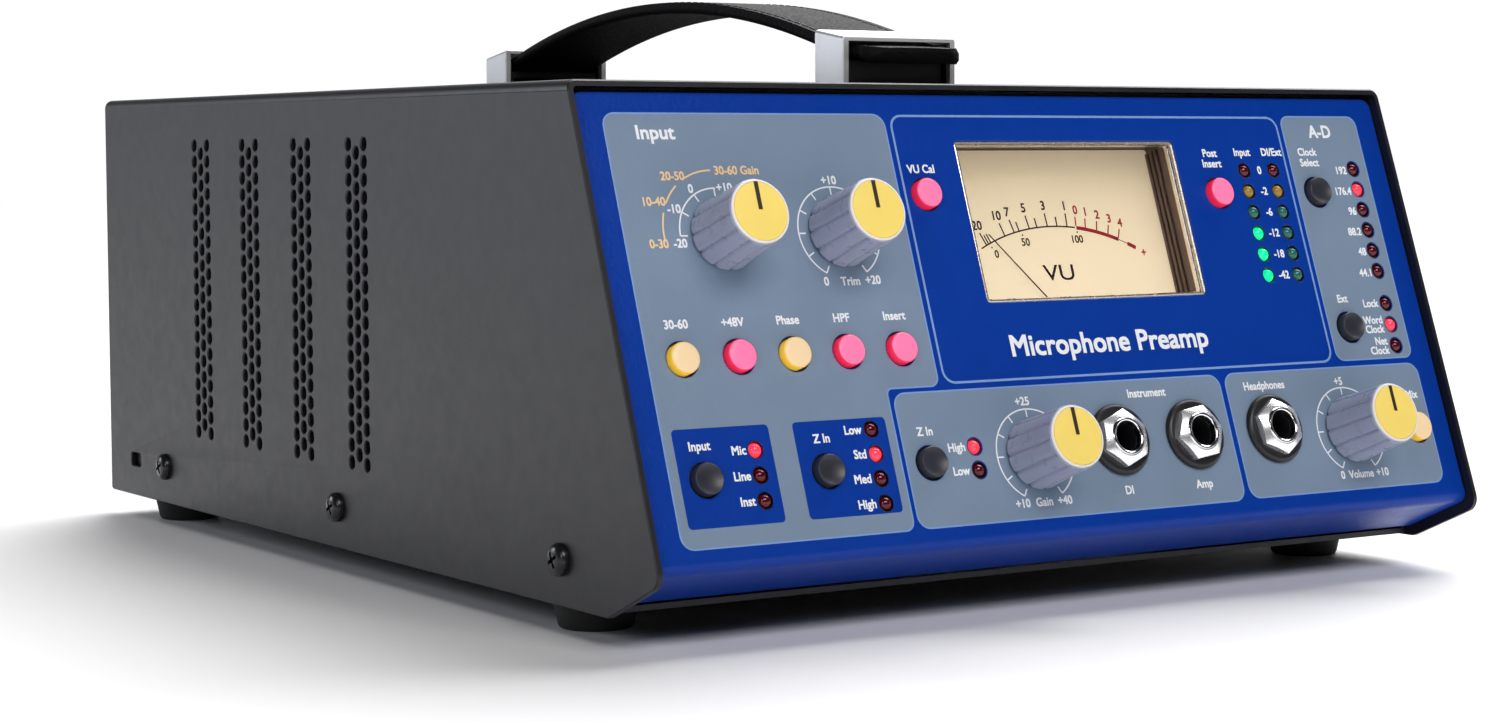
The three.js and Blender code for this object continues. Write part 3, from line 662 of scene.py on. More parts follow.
def panel_holes(grow=0.0):
    holes = [circle(x, v, LED_HOLE + grow, 16) for x, v, _ in LIGHTS]
    for places, radius, count in (
        (BUTTONS, BUTTON_HOLE, 28), (KNOBS.values(), KNOB_HOLE, 24), (SOCKETS.values(), SOCKET_HOLE, 24),
    ):
        holes += [circle(x, v, radius + grow, count) for x, v in places]
    holes.append(window_outline(grow))
    return holes


def build_panel():
    """A flat face that bends round at its foot into a lip, which leans a little."""
    bm = bmesh.new()
    bend, thick, lip, lean, steps = 2.4, 2.0, 19.2, 0.075, 8
    low = PANEL_LOW + bend
    outline = rounded(
        [(-PANEL_HALF, low), (PANEL_HALF, low), (PANEL_HALF, PANEL_HIGH), (-PANEL_HALF, PANEL_HIGH)],
        [0, 0, 2.6, 2.6],
    )
    sheet(bm, outline, panel_holes(), 0, -thick, 0.14, keep=lambda a, b: max(a[1], b[1]) < low + TINY)
    bent = math.pi / 2 - math.atan(lean)

    def arc(radius):
        turns = [bent * i / steps for i in range(steps + 1)]
        return [(low - radius * math.sin(a), -bend + radius * math.cos(a)) for a in turns]

    outer = arc(bend)
    end = (outer[-1][0] - lean * (lip - bend), -lip)
    inner_end = (end[0] + thick, -lip)
    section = outer + [end, inner_end] + arc(bend - thick)[::-1]
    rows = [[bm.verts.new((x, v, h)) for v, h in section] for x in (-PANEL_HALF, PANEL_HALF)]
    bridge(bm, rows, closed=False)
    for row in rows:
        ends = list(zip(row[:steps + 1], row[::-1]))
        for (a, b), (c, d) in zip(ends, ends[1:]):
            bm.faces.new((a, c, d, b))
        bm.faces.new(row[steps:steps + 4])
    show("panel", bm, PANEL, "case", "panel_paint", BLUE, stands_for=["front_panel"], sharp=30, weld=2e-3)


def area(x0, x1, v0, v1, radius, steps=6):
    return box_outline(x0 - HALF, x1 - HALF, v0, v1, radius, steps)


INPUT_AREA = rounded(
    [at(7.6, 15.8), at(62.8, 15.8), at(62.8, 45.4), at(76.2, 45.4), at(76.2, 105.1), at(7.6, 105.1)],
    [3.0, 2.2, 1.2, 2.2, 3.0, 3.0],
)
AREAS = [
    INPUT_AREA, area(63.7, 152.0, 15.9, 44.6, 3.0), area(153.3, 212.9, 16.1, 44.7, 3.0),
    area(188.4, 212.4, 45.9, 105.1, 2.5),
]


PRINT_LOW = 0.01
PRINT_H = 0.03
LINE_H = 0.05
INK_H = 0.06


def build_printed_areas():
    bm = bmesh.new()
    boxes = [area(10.0, 32.4, 19.9, 39.8, 0.9, 3), area(38.1, 60.7, 19.9, 39.8, 0.9, 3)]
    holes = panel_holes(0.2)
    for outline in AREAS:
        cutouts = boxes if outline is INPUT_AREA else []
        inside = [h for h in holes if contains(outline, h) and not any(contains(b, h) for b in cutouts)]
        loops = [outline, *cutouts, *inside]
        fill(bm, loops, PRINT_H)
        for loop in loops:
            wall(bm, [(loop, PRINT_LOW), (loop, PRINT_H)])
    show("printed_areas", bm, PANEL, "case", "panel_paint", GREY_BLUE)


def contains(outline, loop):
    """Whether the loop's middle lies inside the outline."""
    x = sum(p[0] for p in loop) / len(loop)
    y = sum(p[1] for p in loop) / len(loop)
    inside = False
    for (x0, y0), (x1, y1) in zip(outline, outline[1:] + outline[:1]):
        if (y0 > y) != (y1 > y) and x < (x1 - x0) * (y - y0) / (y1 - y0) + x0:
            inside = not inside
    return inside


def build_outlines():
    """The pale line round the meter section, and a thin one round each printed area."""
    bm = bmesh.new()
    meter_section = area(77.4, 187.3, 45.8, 104.9, 3.0)
    for outer, width in [(meter_section, 0.5)] + [(outline, 0.32) for outline in AREAS]:
        inner = inset(outer, width)
        fill(bm, [outer, inner], LINE_H)
        for loop in (outer, inner):
            wall(bm, [(loop, PRINT_LOW), (loop, LINE_H)])
    show("section_line", bm, PANEL, "case", "panel_paint", LINE_BLUE)


# Small labels: text, x from the panel's left edge, baseline v, alignment.
LABEL = 1.75
LABELS = [
    ("30-60", 15.7, 60.1, 0.5), ("+48V", 28.9, 60.1, 0.5), ("Phase", 42.0, 60.1, 0.5),
    ("HPF", 55.1, 60.1, 0.5), ("Insert", 68.3, 60.1, 0.5), ("VU Cal", 82.9, 91.9, 0.5),
    ("Post", 164.6, 95.2, 0.5), ("Insert", 164.6, 92.7, 0.5), ("Mix", 209.0, 36.3, 0.5),
    ("Input", 15.8, 35.4, 0.5), ("Z In", 44.4, 35.3, 0.5), ("Z In", 69.9, 35.3, 0.5),
    ("Clock", 194.6, 95.4, 0.5), ("Select", 194.6, 92.8, 0.5), ("Ext", 194.6, 59.8, 0.5),
    ("Mic", 26.2, 34.0, 1), ("Line", 26.2, 28.8, 1), ("Inst", 26.2, 23.7, 1),
    ("Low", 54.4, 36.6, 1), ("Std", 54.4, 31.5, 1), ("Med", 54.4, 26.4, 1), ("High", 54.4, 21.2, 1),
    ("High", 79.2, 31.5, 1), ("Low", 79.2, 26.5, 1),
    ("Input", 174.4, 95.4, 0.5), ("DI/Ext", 183.4, 95.4, 0.5),
    ("192", 205.6, 90.8, 1), ("176.4", 205.6, 85.7, 1), ("96", 205.6, 80.8, 1),
    ("88.2", 205.6, 75.8, 1), ("48", 205.6, 70.9, 1), ("44.1", 205.6, 65.8, 1),
    ("Lock", 205.4, 58.4, 1), ("Word", 205.4, 54.4, 1), ("Clock", 205.4, 52.2, 1),
    ("Net", 205.4, 49.3, 1), ("Clock", 205.4, 47.1, 1),
    ("-20", 20.35, 76.7, 0.5), ("-10", 20.35, 83.9, 0.5), ("0", 25.1, 88.1, 0.5), ("+10", 33.1, 88.3, 0.5),
    ("+10", 58.8, 89.6, 0.5), ("0", 53.3, 67.9, 0.5), ("Trim", 59.2, 67.8, 0.5), ("+20", 64.9, 67.9, 0.5),
    ("+25", 96.4, 40.35, 0.5), ("+10", 91.1, 18.65, 0.5), ("Gain", 96.7, 18.65, 0.5),
    ("+40", 102.2, 18.65, 0.5), ("+5", 187.1, 40.45, 0.5), ("0", 181.9, 18.85, 0.5),
    ("Volume", 187.5, 18.85, 0.5), ("+10", 194.1, 18.85, 0.5), ("DI", 120.0, 19.6, 0.5),
    ("Amp", 141.0, 19.6, 0.5), ("Instrument", 130.5, 40.55, 0.5), ("Headphones", 164.6, 40.55, 0.5),
]
LEVELS = ["0", "-2", "-6", "-12", "-18", "-42"]
RANGES = [("0-30", 15.4, 76.7), ("10-40", 16.1, 85.5), ("20-50", 21.4, 90.8), ("30-60 Gain", 36.8, 91.9)]


def knob_ring(bm, place, start, end, angles, radius=9.9, tick_from=8.2, line=0.32):
    """A printed ring round a knob, with a tick at each angle."""
    arc_band(bm, *place, radius, line, start, end, INK_H)
    for angle in angles:
        tick(bm, *place, angle, tick_from, radius, line, INK_H)


def build_labels():
    bm = bmesh.new()
    for text, x, v, align in LABELS:
        words(bm, text, *at(x, v), LABEL, INK_H, 0.07, align)
    for i, text in enumerate(LEVELS):
        words(bm, text, *at(178.45, 91.0 - 5 * i), LABEL, INK_H, 0.07)
    words(bm, "Input", *at(15.0, 99.5), 2.8, INK_H, 0.11, 0, width=8.8)
    words(bm, "A-D", *at(200.0, 99.8), 2.9, INK_H, 0.11)
    words(bm, "Microphone Preamp", *at(124.0, 51.1), 4.4, INK_H, 0.15, width=54.5)
    for name in ("trim", "instrument", "phones"):
        knob_ring(bm, KNOBS[name], -150, 150, range(-150, 151, 30))
    knob_ring(bm, KNOBS["gain"], -90, 2, (-90, -60, -30, 0))
    thicken(bm)
    show("white_labels", bm, PANEL, "case", "panel_paint", WHITE_INK, weld=0)


def build_range_labels():
    bm = bmesh.new()
    for text, x, v in RANGES:
        words(bm, text, *at(x, v), LABEL, INK_H, 0.06)
    for start, end in ((-93, -69), (-60, -40), (-28, 0)):
        arc_band(bm, *KNOBS["gain"], 13.7, 0.36, start, end, INK_H)
    thicken(bm)
    show("amber_labels", bm, PANEL, "case", "panel_paint", AMBER_INK, weld=0)


# ---------------------------------------------------------------- knobs
def build_knob(name, place):
    flutes, depth, narrowness = 12, 0.45, 28
    side_low, side_high, side_inner = 0.4, 14.2, 6.3

    def fluted(angle, r, h):
        if h < side_low or h > side_high or r < side_inner:
            return r
        return r - depth * abs(math.cos(angle * flutes / 2)) ** narrowness

    bm = bmesh.new()
    profile = [
        (0, 2.4), (5.6, 2.4), (5.8, 0.5), (7.4, 0.5), (7.6, 0.75), (7.42, 3.0), (7.2, 6.0), (7.08, 9.0),
        (6.96, 12.0), (6.9, 14.0), (6.82, 14.35), (6.62, 14.55), (6.62, 13.9), (0, 13.9),
    ]
    lathe(bm, profile, 144, place, fluted)
    lathe(bm, [(0, -11.5), (2.95, -11.5), (3.0, -11.2), (3.0, 2.6), (0, 2.6)], 32, place)
    body = name + "_control"
    show(name + "_skirt", bm, PANEL, body, "knob_plastic", KNOB, stands_for=[name + "_knob"], sharp=38)

    rim = [
        (0, 14.0), (6.6, 14.0), (6.6, 14.62), (6.55, 14.8), (6.45, 14.88), (6.16, 14.88), (6.12, 14.7),
        (0, 14.7),
    ]
    turned(name + "_rim", rim, 72, place, body, "knob_cap_plastic", PALE_RIM, sharp=40)
    disc = [(0, 14.4), (6.1, 14.4), (6.1, 14.84), (6.0, 14.96), (5.6, 15.0), (0, 15.02)]
    turned(
        name + "_disc", disc, 72, place, body, "knob_cap_plastic", YELLOW,
        stands_for=[name + "_knob_cap"], sharp=40,
    )

    line = bmesh.new()
    x, v = place
    stroke(line, (x, v + 0.3), (x, v + 6.1), 0.95, 15.01)
    thicken(line, 0.04)
    show(name + "_pointer", line, PANEL, body, "knob_cap_plastic", POINTER, weld=0)


def build_collars(name, profile, count, places, slot, look):
    """The same turned ring at every place, as one piece."""
    bm = bmesh.new()
    for place in places:
        lathe(bm, profile, count, place)
    show(name, bm, PANEL, "case", slot, look)


def build_knob_seats():
    """The threaded bush under each knob."""
    bush = [(3.3, -3), (3.8, -3), (3.8, 0.55), (3.6, 0.65), (3.3, 0.65), (3.3, -3)]
    build_collars("knob_bushes", bush, 28, KNOBS.values(), "bright_metal", CHROME)


# ---------------------------------------------------------------- buttons
KEY_TOP = 1.8
KEY_STEM = [(0, -10.5), (1.5, -10.5), (1.5, -4)]


def build_button(name, place, face, side, slot):
    """A translucent key: a flat face with a soft edge, and a darker side below it."""
    body, top = name + "_key", KEY_TOP
    face_profile = [
        (0, top - 0.5), (3.05, top - 0.5), (3.08, top - 0.3), (2.98, top - 0.08), (2.75, top),
        (1.5, top + 0.03), (0, top + 0.04),
    ]
    turned(name + "_face", face_profile, 40, place, body, slot, face, sharp=50)
    side_profile = KEY_STEM + [
        (3.2, -4), (3.25, -3.8), (3.25, top - 0.6), (3.18, top - 0.32), (3.1, top - 0.26), (0, top - 0.3),
    ]
    turned(
        name + "_side", side_profile, 40, place, body, slot, side,
        stands_for=[name + "_button"], sharp=45,
    )


def build_dark_button(name, place):
    profile = KEY_STEM + [
        (3.15, -4), (3.25, -3.8), (3.25, 1.45), (3.18, 1.68), (3.0, 1.78), (2.6, 1.62), (1.9, 1.42),
        (1.0, 1.28), (0, 1.24),
    ]
    turned(
        name + "_cap", profile, 48, place, name + "_key", "button_black", BLACK_KEY_AND_SHEEN,
        stands_for=[name + "_button"], sharp=50,
    )


def build_light_pipes():
    """Dark collars seen in the gaps round the buttons."""
    collar = [(3.4, -6.6), (3.58, -6.6), (3.58, -0.35), (3.4, -0.35), (3.4, -6.6)]
    build_collars("button_collars", collar, 28, BUTTONS, "black_plastic", BLACK)


def build_lights():
    """Three-millimetre lamps with domed tips, one piece for each colour and state."""
    groups = {}
    for x, v, look in LIGHTS:
        groups.setdefault(look.name, (look, []))[1].append((x, v))
    dome = [(1.45 * math.cos(a), -0.75 + 1.35 * math.sin(a)) for a in (math.pi / 2 * i / 8 for i in range(8))]
    for name, (look, places) in sorted(groups.items()):
        bm = bmesh.new()
        for place in places:
            lathe(bm, [(0, -5.0), (1.6, -5.0), (1.6, -4.2), (1.45, -4.2), *dome, (0, 0.6)], 24, place)
        show("lights_" + name, bm, PANEL, "case", "clear_plastic", look, sharp=50)
    collar = [(1.62, -4.0), (1.84, -4.0), (1.84, -0.1), (1.74, -0.02), (1.62, -0.4), (1.62, -4.0)]
    places = [(x, v) for x, v, _ in LIGHTS]
    build_collars("light_collars", collar, 18, places, "black_plastic", BLACK)


# ---------------------------------------------------------------- front sockets
NUT_TURNS = (22, 8, 35)


def build_socket(name, place, turn):
    x, v = place
    washer = [
        (4.75, 0.05), (7.5, 0.05), (7.78, 0.25), (7.78, 0.75), (7.4, 1.25), (6.9, 1.42), (4.75, 1.42),
        (4.75, 0.05),
    ]
    turned(name + "_washer", washer, 56, place, "case", "black_plastic", BLACK, sharp=40)

    bm = bmesh.new()
    corner, bore, crest, fall, foot, count = 6.35, 4.3, 3.45, 0.42, 1.45, 48
    first = math.radians(turn)
    rows = []
    for i in range(count):
        angle = first + math.tau * i / count
        sector = (angle - first) % (math.pi / 3) - math.pi / 6
        edge = corner * math.cos(math.pi / 6) / math.cos(sector)
        brim = crest - fall * (edge - bore)
        section = ((edge, foot), (edge, brim - 0.12), (edge - 0.15, brim), (bore, crest), (bore, foot))
        rows.append([bm.verts.new((x + r * math.cos(angle), v + r * math.sin(angle), h)) for r, h in section])
    bridge(bm, rows + rows[:1])
    show(name + "_hex", bm, PANEL, "case", "bright_metal", NUT_PLATE, stands_for=[name + "_nut"], sharp=24)

    ring = [
        (3.3, -4), (4.22, -4), (4.25, 3.3), (4.12, 3.55), (3.92, 3.7), (3.62, 3.72), (3.4, 3.6), (3.3, 3.35),
        (3.3, -4),
    ]
    turned(name + "_ring", ring, 48, place, "case", "bright_metal", CHROME, sharp=30)

    bm = bmesh.new()
    cup = [(0, -24.0), (3.28, -24.0), (3.28, 1.9), (3.36, 1.9), (3.36, -24.4), (0, -24.4)]
    lathe(bm, cup, 36, place)
    block(bm, (x - 7, x + 7), (v - 7.5, v + 7.5), (-26, -24.6), 0.3)
    low, high = (v - 7.5, v - 4), (v + 4, v + 7.5)
    for across, along in (((x - 7, x + 7), low), ((x - 7, x + 7), high), ((x - 7, x - 4), (v - 4, v + 4)),
                          ((x + 4, x + 7), (v - 4, v + 4))):
        block(bm, across, along, (-24.6, -2.6))
    show(name + "_throat", bm, PANEL, "case", "black_plastic", BLACK, stands_for=[name], sharp=40, weld=0)


# ---------------------------------------------------------------- level meter
DIAL_H = -11.0
NEEDLE_PIVOT = (13.9, 58.5)
NEEDLE_REACH = 29.5
NEEDLE_REST = 40
SCALE_X = NEEDLE_PIVOT[0]
SCALE_CENTRE = (SCALE_X, 34.2)
SCALE_R = 48.7


def scale_point(along, radius):
    """A point at a distance along the scale from its middle, at a radius."""
    angle = along / SCALE_R
    return SCALE_CENTRE[0] + radius * math.sin(angle), SCALE_CENTRE[1] + radius * math.cos(angle)


def build_dial_print():
    h = DIAL_H + 0.03
    black = bmesh.new()
    red = bmesh.new()
    degree = math.degrees(1 / SCALE_R)
    for bm, width, start, end in (
        (black, 0.34, -21.6, 6.2), (red, 0.85, 6.6, 18.3), (black, 0.16, 18.3, 20.8), (red, 0.9, 20.8, 23.2),
    ):
        arc_band(bm, *SCALE_CENTRE, SCALE_R, width, start * degree, end * degree, h, 1.0)

    def mark(bm, along, inner, outer, width):
        stroke(bm, scale_point(along, SCALE_R + inner), scale_point(along, SCALE_R + outer), width, h)

    def figure(bm, text, along, lift, height, bold=0.06):
        words(bm, text, *scale_point(along, SCALE_R + lift), height, h, bold)

    for along, text in ((-19.9, "20"), (-14.0, "10"), (-11.15, "7"), (-6.7, "5"), (-1.5, "3"), (4.0, "1")):
        mark(black, along, 0.14, 3.1, 0.36)
        figure(black, text, along, 3.9, 2.0)
    for along in (-19.2, -18.5, -9.7, -4.5, 1.2):
        mark(black, along, 0.14, 2.2, 0.36)
    for along, text in ((6.5, "0"), (9.1, "1"), (12.2, "2"), (15.3, "3"), (18.2, "4")):
        mark(red, along, 0.44, 2.6, 0.34)
        figure(red, text, along + 0.3, 3.3, 1.9)
    figure(red, "+", 26.0, -0.9, 2.0)
    for along, text in ((-18.9, "0"), (-9.2, "50"), (6.7, "100")):
        dot = circle(*scale_point(along, SCALE_R - 1.0), 0.22, 10)
        black.faces.new([black.verts.new((x, y, h)) for x, y in dot])
        figure(black, text, along, -3.5, 1.7, 0.05)
    words(black, "VU", SCALE_X - 1.1, 70.5, 3.5, h, 0.03, width=8.4)
    for bm, name, look in ((black, "dial_black_print", BLACK_INK), (red, "dial_red_print", RED_INK)):
        thicken(bm)
        show(name, bm, PANEL, "case", "dial_card", look, weld=0)


def build_dial():
    bm = bmesh.new()
    (x0, v0), (x1, v1) = WINDOW
    outline = box_outline(x0 - 1.2, x1 + 1.2, v0 - 11.0, v1 + 1.6, 0.6, 2)
    sheet(bm, outline, [circle(*NEEDLE_PIVOT, 2, 20)], DIAL_H, DIAL_H - 1, 0.1)
    show("dial_plate", bm, PANEL, "case", "dial_card", DIAL, stands_for=["meter_dial"])
    build_dial_print()


def build_meter_case():
    """The dark inner walls behind the window, stepped where the window sits; they are black plastic painted
    warm brown, as painted light from the dial lamp.
    """
    bm = bmesh.new()
    (x0, v0), (x1, v1) = WINDOW
    outer = box_outline(x0 - 2.6, x1 + 2.6, v0 - 13.0, v1 + 3.6, 0.8, 3)
    inner = box_outline(x0 - 0.4, x1 + 0.4, v0 - 1.0, v1 + 0.4, 0.6, 3)
    wide = box_outline(x0 - 1.3, x1 + 1.3, v0 - 11.2, v1 + 1.8, 0.6, 3)
    front, step, floor, back = -3.9, -6.2, -34.0, -35.6
    sheet(bm, outer, [inner], front, step, 0.1)
    sheet(bm, outer, [wide], step, floor)
    sheet(bm, outer, [circle(0, 80, 1, 8)], floor, back, 0.2)
    show("meter_housing", bm, PANEL, "case", "black_plastic", INNER_PAINTED_LAMPLIGHT, stands_for=["meter_case"], weld=0)
    bm = bmesh.new()
    for dx in (x0 - 0.7, x1 + 0.1):
        for k in range(3):
            block(bm, (dx, dx + 0.6), (v0 - 0.9, v1 + 0.3), (-10.6 + 1.5 * k, -9.8 + 1.5 * k), 0.12)
    show("meter_ribs", bm, PANEL, "case", "black_plastic", INNER_PAINTED_LAMPLIGHT, weld=0)


def build_needle():
    bm = bmesh.new()
    turn = Matrix.Translation((*NEEDLE_PIVOT, DIAL_H)) @ Matrix.Rotation(math.radians(NEEDLE_REST), 4, "Z")
    tip = [(-0.15, 0), (-0.09, NEEDLE_REACH), (0.09, NEEDLE_REACH), (0.15, 0)]
    tail = [(-0.7, -6), (-0.35, 0), (0.35, 0), (0.7, -6)]
    hub = [
        (0, -9), (0.85, -9), (0.9, -8.8), (0.9, 0.4), (1.5, 0.45), (1.6, 0.6), (1.6, 1.35), (1.4, 1.5),
        (0, 1.5),
    ]
    sheet(bm, tip, [], 1.1, 0.9)
    sheet(bm, tail, [], 1.25, 0.65)
    lathe(bm, hub, 28)
    bmesh.ops.transform(bm, matrix=turn, verts=bm.verts)
    show("needle", bm, PANEL, "needle", "needle_black", BLACK_INK, stands_for=["meter_needle"], weld=0)


def build_window():
    """The clear pane, its flange behind the panel and its moulded rim; flange and rim are a bright champagne
    metal, a painted reflection of light caught in the clear plastic edge.
    """
    opening = window_outline()
    bm = bmesh.new()
    sheet(bm, inset(opening, 0.8), [], -0.6, -1.6, 0.1)
    show("window_pane", bm, PANEL, "case", "clear_plastic", CLEAR, stands_for=["meter_window"])
    bm = bmesh.new()
    sheet(bm, window_outline(1.5), [inset(opening, 0.4)], -2.36, -3.4, 0.1)
    show("window_flange", bm, PANEL, "case", "clear_plastic", WINDOW_EDGE_GLINT)
    bm = bmesh.new()
    outer = window_outline(-0.06)
    wall(bm, [
        (outer, -1.6), (outer, -0.42), (inset(opening, 0.30), -0.28), (inset(opening, 0.62), -0.36),
        (inset(opening, 0.9), -1.5),
    ])
    show("window_rim", bm, PANEL, "case", "clear_plastic", WINDOW_EDGE_GLINT)


# ---------------------------------------------------------------- handle
STRAP_MIDDLE = 163.7
STRAP_HALF = 92.9
STRAP_WIDTH = 26.8


def strap_top(offset):
    """An arch as far as its reach, levelling out from there to its ends."""
    crown, drop, reach = 23.0, 10.9, 74.0
    arch = min(abs(offset), reach)
    past = abs(offset) - arch
    eased = past - past * past / (2 * (STRAP_HALF - reach))
    return crown - drop * (arch / reach) ** 2 - 2 * drop / reach * eased


def quarter_fall(share):
    """How far a quarter circle has fallen, as its share runs from 0 to 1."""
    return 1 - math.sqrt(max(0.0, 1 - share ** 2))


def strap_section(steps=32):
    """Across the strap: the share of its half width, the lift of crown and welt, and the edge's rounding."""
    section = []
    for i in range(steps + 1):
        t = -1 + 2 * i / steps
        welt = 0.28 * math.exp(-((abs(t) - 0.93) / 0.05) ** 2)
        section.append((t, 0.55 * (1 - t ** 4) + welt, 0.9 * quarter_fall(max(0.0, (abs(t) - 0.94) / 0.06))))
    return section


def build_strap():
    """A padded leather strap: crowned across, with a raised binding along each edge."""
    bm = bmesh.new()
    half = STRAP_WIDTH / 2
    corner, blunt, count = 4.0, 1.6, 120
    across = strap_section()
    rows = []
    for i in range(count + 1):
        offset = STRAP_HALF * (2 * i / count - 1)
        from_end = STRAP_HALF - abs(offset)
        narrow = 0.0
        if from_end < corner:
            narrow = corner - math.sqrt(max(0.0, corner ** 2 - (corner - from_end) ** 2))
        thin = 1.0
        if from_end <= blunt:
            thin = 0.45 + 0.55 * math.sqrt(max(0, 1 - (1 - from_end / blunt) ** 2))
        depth = 2.3 + 1.4 * max(0.0, 1 - from_end / 5.0)
        y = STRAP_MIDDLE + offset
        base = HEIGHT + strap_top(offset) - 0.6
        width = half - narrow
        row = [(t * width, y, base + lift * thin - fall) for t, lift, fall in across]
        row += [(t * width, y, base - depth * thin - 0.1 * lift + fall) for t, lift, fall in reversed(across)]
        rows.append([bm.verts.new(p) for p in row])
    bridge(bm, rows)
    for row in (rows[0], rows[-1]):
        bm.faces.new(row)
    show("strap", bm, CASE, "strap", "strap_leather", LEATHER, stands_for=["handle_strap"], sharp=60)
    build_stitches(half - 2.7)


def build_stitches(line):
    """Short raised threads along a line near each edge of the strap."""
    bm = bmesh.new()
    pitch, length, clear_end, steps = 3.0, 2.0, 5, 4
    round_thread = (0, 1.05, 2.09, 3.14, 4.7)
    for side in (-1, 1):
        x = side * line
        for i in range(int(2 * (STRAP_HALF - clear_end) / pitch)):
            rows = []
            for k in range(steps + 1):
                along = -STRAP_HALF + clear_end + pitch * i + length * k / steps
                y = STRAP_MIDDLE + along
                z = HEIGHT + strap_top(along) - 0.22 + 0.05 * math.sin(math.pi * k / steps)
                ring = [(x + 0.2 * math.cos(a), y, z + 0.16 * math.sin(a)) for a in round_thread]
                rows.append([bm.verts.new(p) for p in ring])
            bridge(bm, rows)
            bm.faces.new(rows[0])
            bm.faces.new(rows[-1])
    show("strap_stitches", bm, CASE, "strap", "strap_leather", THREAD, weld=0, sharp=60)


def build_cap(name, end):
    """A metal arch with softly broken edges and a black lining."""
    inner, outer = STRAP_MIDDLE + end * 74.3, STRAP_MIDDLE + end * 85.7
    half, leg, roof, bend = 15.75, 1.5, 1.0, 0.9
    foot = HEIGHT + 0.05
    bm = bmesh.new()

    def ring(share, shrink, down):
        """The arch's corners at a share of its length, from its right foot over to its left foot."""
        side, top, radius = half - shrink, HEIGHT + 13.5 - 1.9 * share - down, max(0.2, bend - shrink)
        points = rounded([(-side, foot), (side, foot), (side, top), (-side, top)], [0, 0, radius, radius], 4)
        y = inner + (outer - inner) * share
        made = [bm.verts.new((x, y, z)) for x, z in points]
        return made[1:] + made[:1]

    breaks = ((0.0, 0.25), (0.022, 0.0), (0.978, 0.0), (1.0, 0.25))
    skin = [ring(share, shrink, shrink) for share, shrink in breaks]
    bore = [ring(share, leg, roof) for share in (0.0, 1.0)]
    for rows in (skin, bore, (skin[0], bore[0]), (skin[-1], bore[1])):
        bridge(bm, rows, closed=False)
    for k in (-1, 0):
        bm.faces.new([*(row[k] for row in skin), bore[1][k], bore[0][k]])
    show(name, bm, CASE, "case", "handle_metal", METAL_CAP, stands_for=["handle_" + name], sharp=30, weld=0)
    build_cap_lining(name, end, inner, outer, half - leg)


def build_cap_lining(name, end, inner, outer, half):
    """A black pad on each side of the strap, and two blocks that wedge it from below."""
    bm = bmesh.new()
    low = HEIGHT + 0.06

    def pad(x, start, stop, high, edge):
        block(bm, x, sorted((inner + end * start, stop)), (low, HEIGHT + high), edge)

    for x in ((-half + 0.06, -half + 0.7), (half - 0.7, half - 0.06)):
        pad(x, 0.5, outer - end * 0.5, 10.2, 0.15)
    middle = (-half + 1.2, half - 1.2)
    pad(middle, 1.2, outer - end * 1.6, 6.5, 0.5)
    pad(middle, 1.2, inner + end * 3.5, 7.7, 0.3)
    show(name + "_lining", bm, CASE, "case", "black_plastic", BLACK, weld=0)


# ---------------------------------------------------------------- screws, feet and tray
def build_cover_screw(node, side, y):
    """A pan head with a crossed slot."""
    bm = bmesh.new()
    head = [
        (0, 2.2), (0.5, 2.2), (1.3, 2.16), (2.2, 2.0), (2.9, 1.66), (3.3, 1.15), (3.4, 0.6), (3.4, 0.06),
        (1.5, 0.06), (1.5, -5.5), (0, -5.9),
    ]
    lathe(bm, head, 48)
    place = CASE @ Matrix.Translation((side * HALF, y, SCREW_Z)) @ Matrix.Rotation(side * math.pi / 2, 4, "Y")
    screw = show(node + "_head", bm, place, "case", "screw_black", SCREW_BLACK, stands_for=[node], sharp=40)
    for turn in (0, math.pi / 2):
        cutter = bmesh.new()
        block(cutter, (-1.75, 1.75), (-0.38, 0.38), (1.0, 3.0))
        bmesh.ops.rotate(cutter, verts=cutter.verts, matrix=Matrix.Rotation(turn + 0.5, 3, "Z"))
        carve(screw, cutter, place)


def carve(piece, cutter_bm, place):
    """Cuts the cutter's shape out of the piece."""
    bmesh.ops.recalc_face_normals(cutter_bm, faces=cutter_bm.faces)
    bmesh.ops.transform(cutter_bm, matrix=place, verts=cutter_bm.verts)
    mesh = bpy.data.meshes.new("cutter")
    cutter_bm.to_mesh(mesh)
    cutter_bm.free()
    cutter = bpy.data.objects.new("cutter", mesh)
    scene.collection.objects.link(cutter)
    modifier = piece.modifiers.new("carve", "BOOLEAN")
    modifier.operation = "DIFFERENCE"
    modifier.solver = "EXACT"
    modifier.object = cutter
    graph = bpy.context.evaluated_depsgraph_get()
    carved = bpy.data.meshes.new_from_object(piece.evaluated_get(graph))
    piece.modifiers.clear()
    old = piece.data
    piece.data = carved
    carved.name = old.name
    bpy.data.meshes.remove(old)
    bpy.data.objects.remove(cutter)
    bpy.data.meshes.remove(mesh)


def build_screws():
    for label, side in (("left", -1), ("right", 1)):
        for spot, y in zip(("front", "middle", "rear"), SCREW_Y):
            build_cover_screw("cover_screw_%s_%s" % (label, spot), side, y)


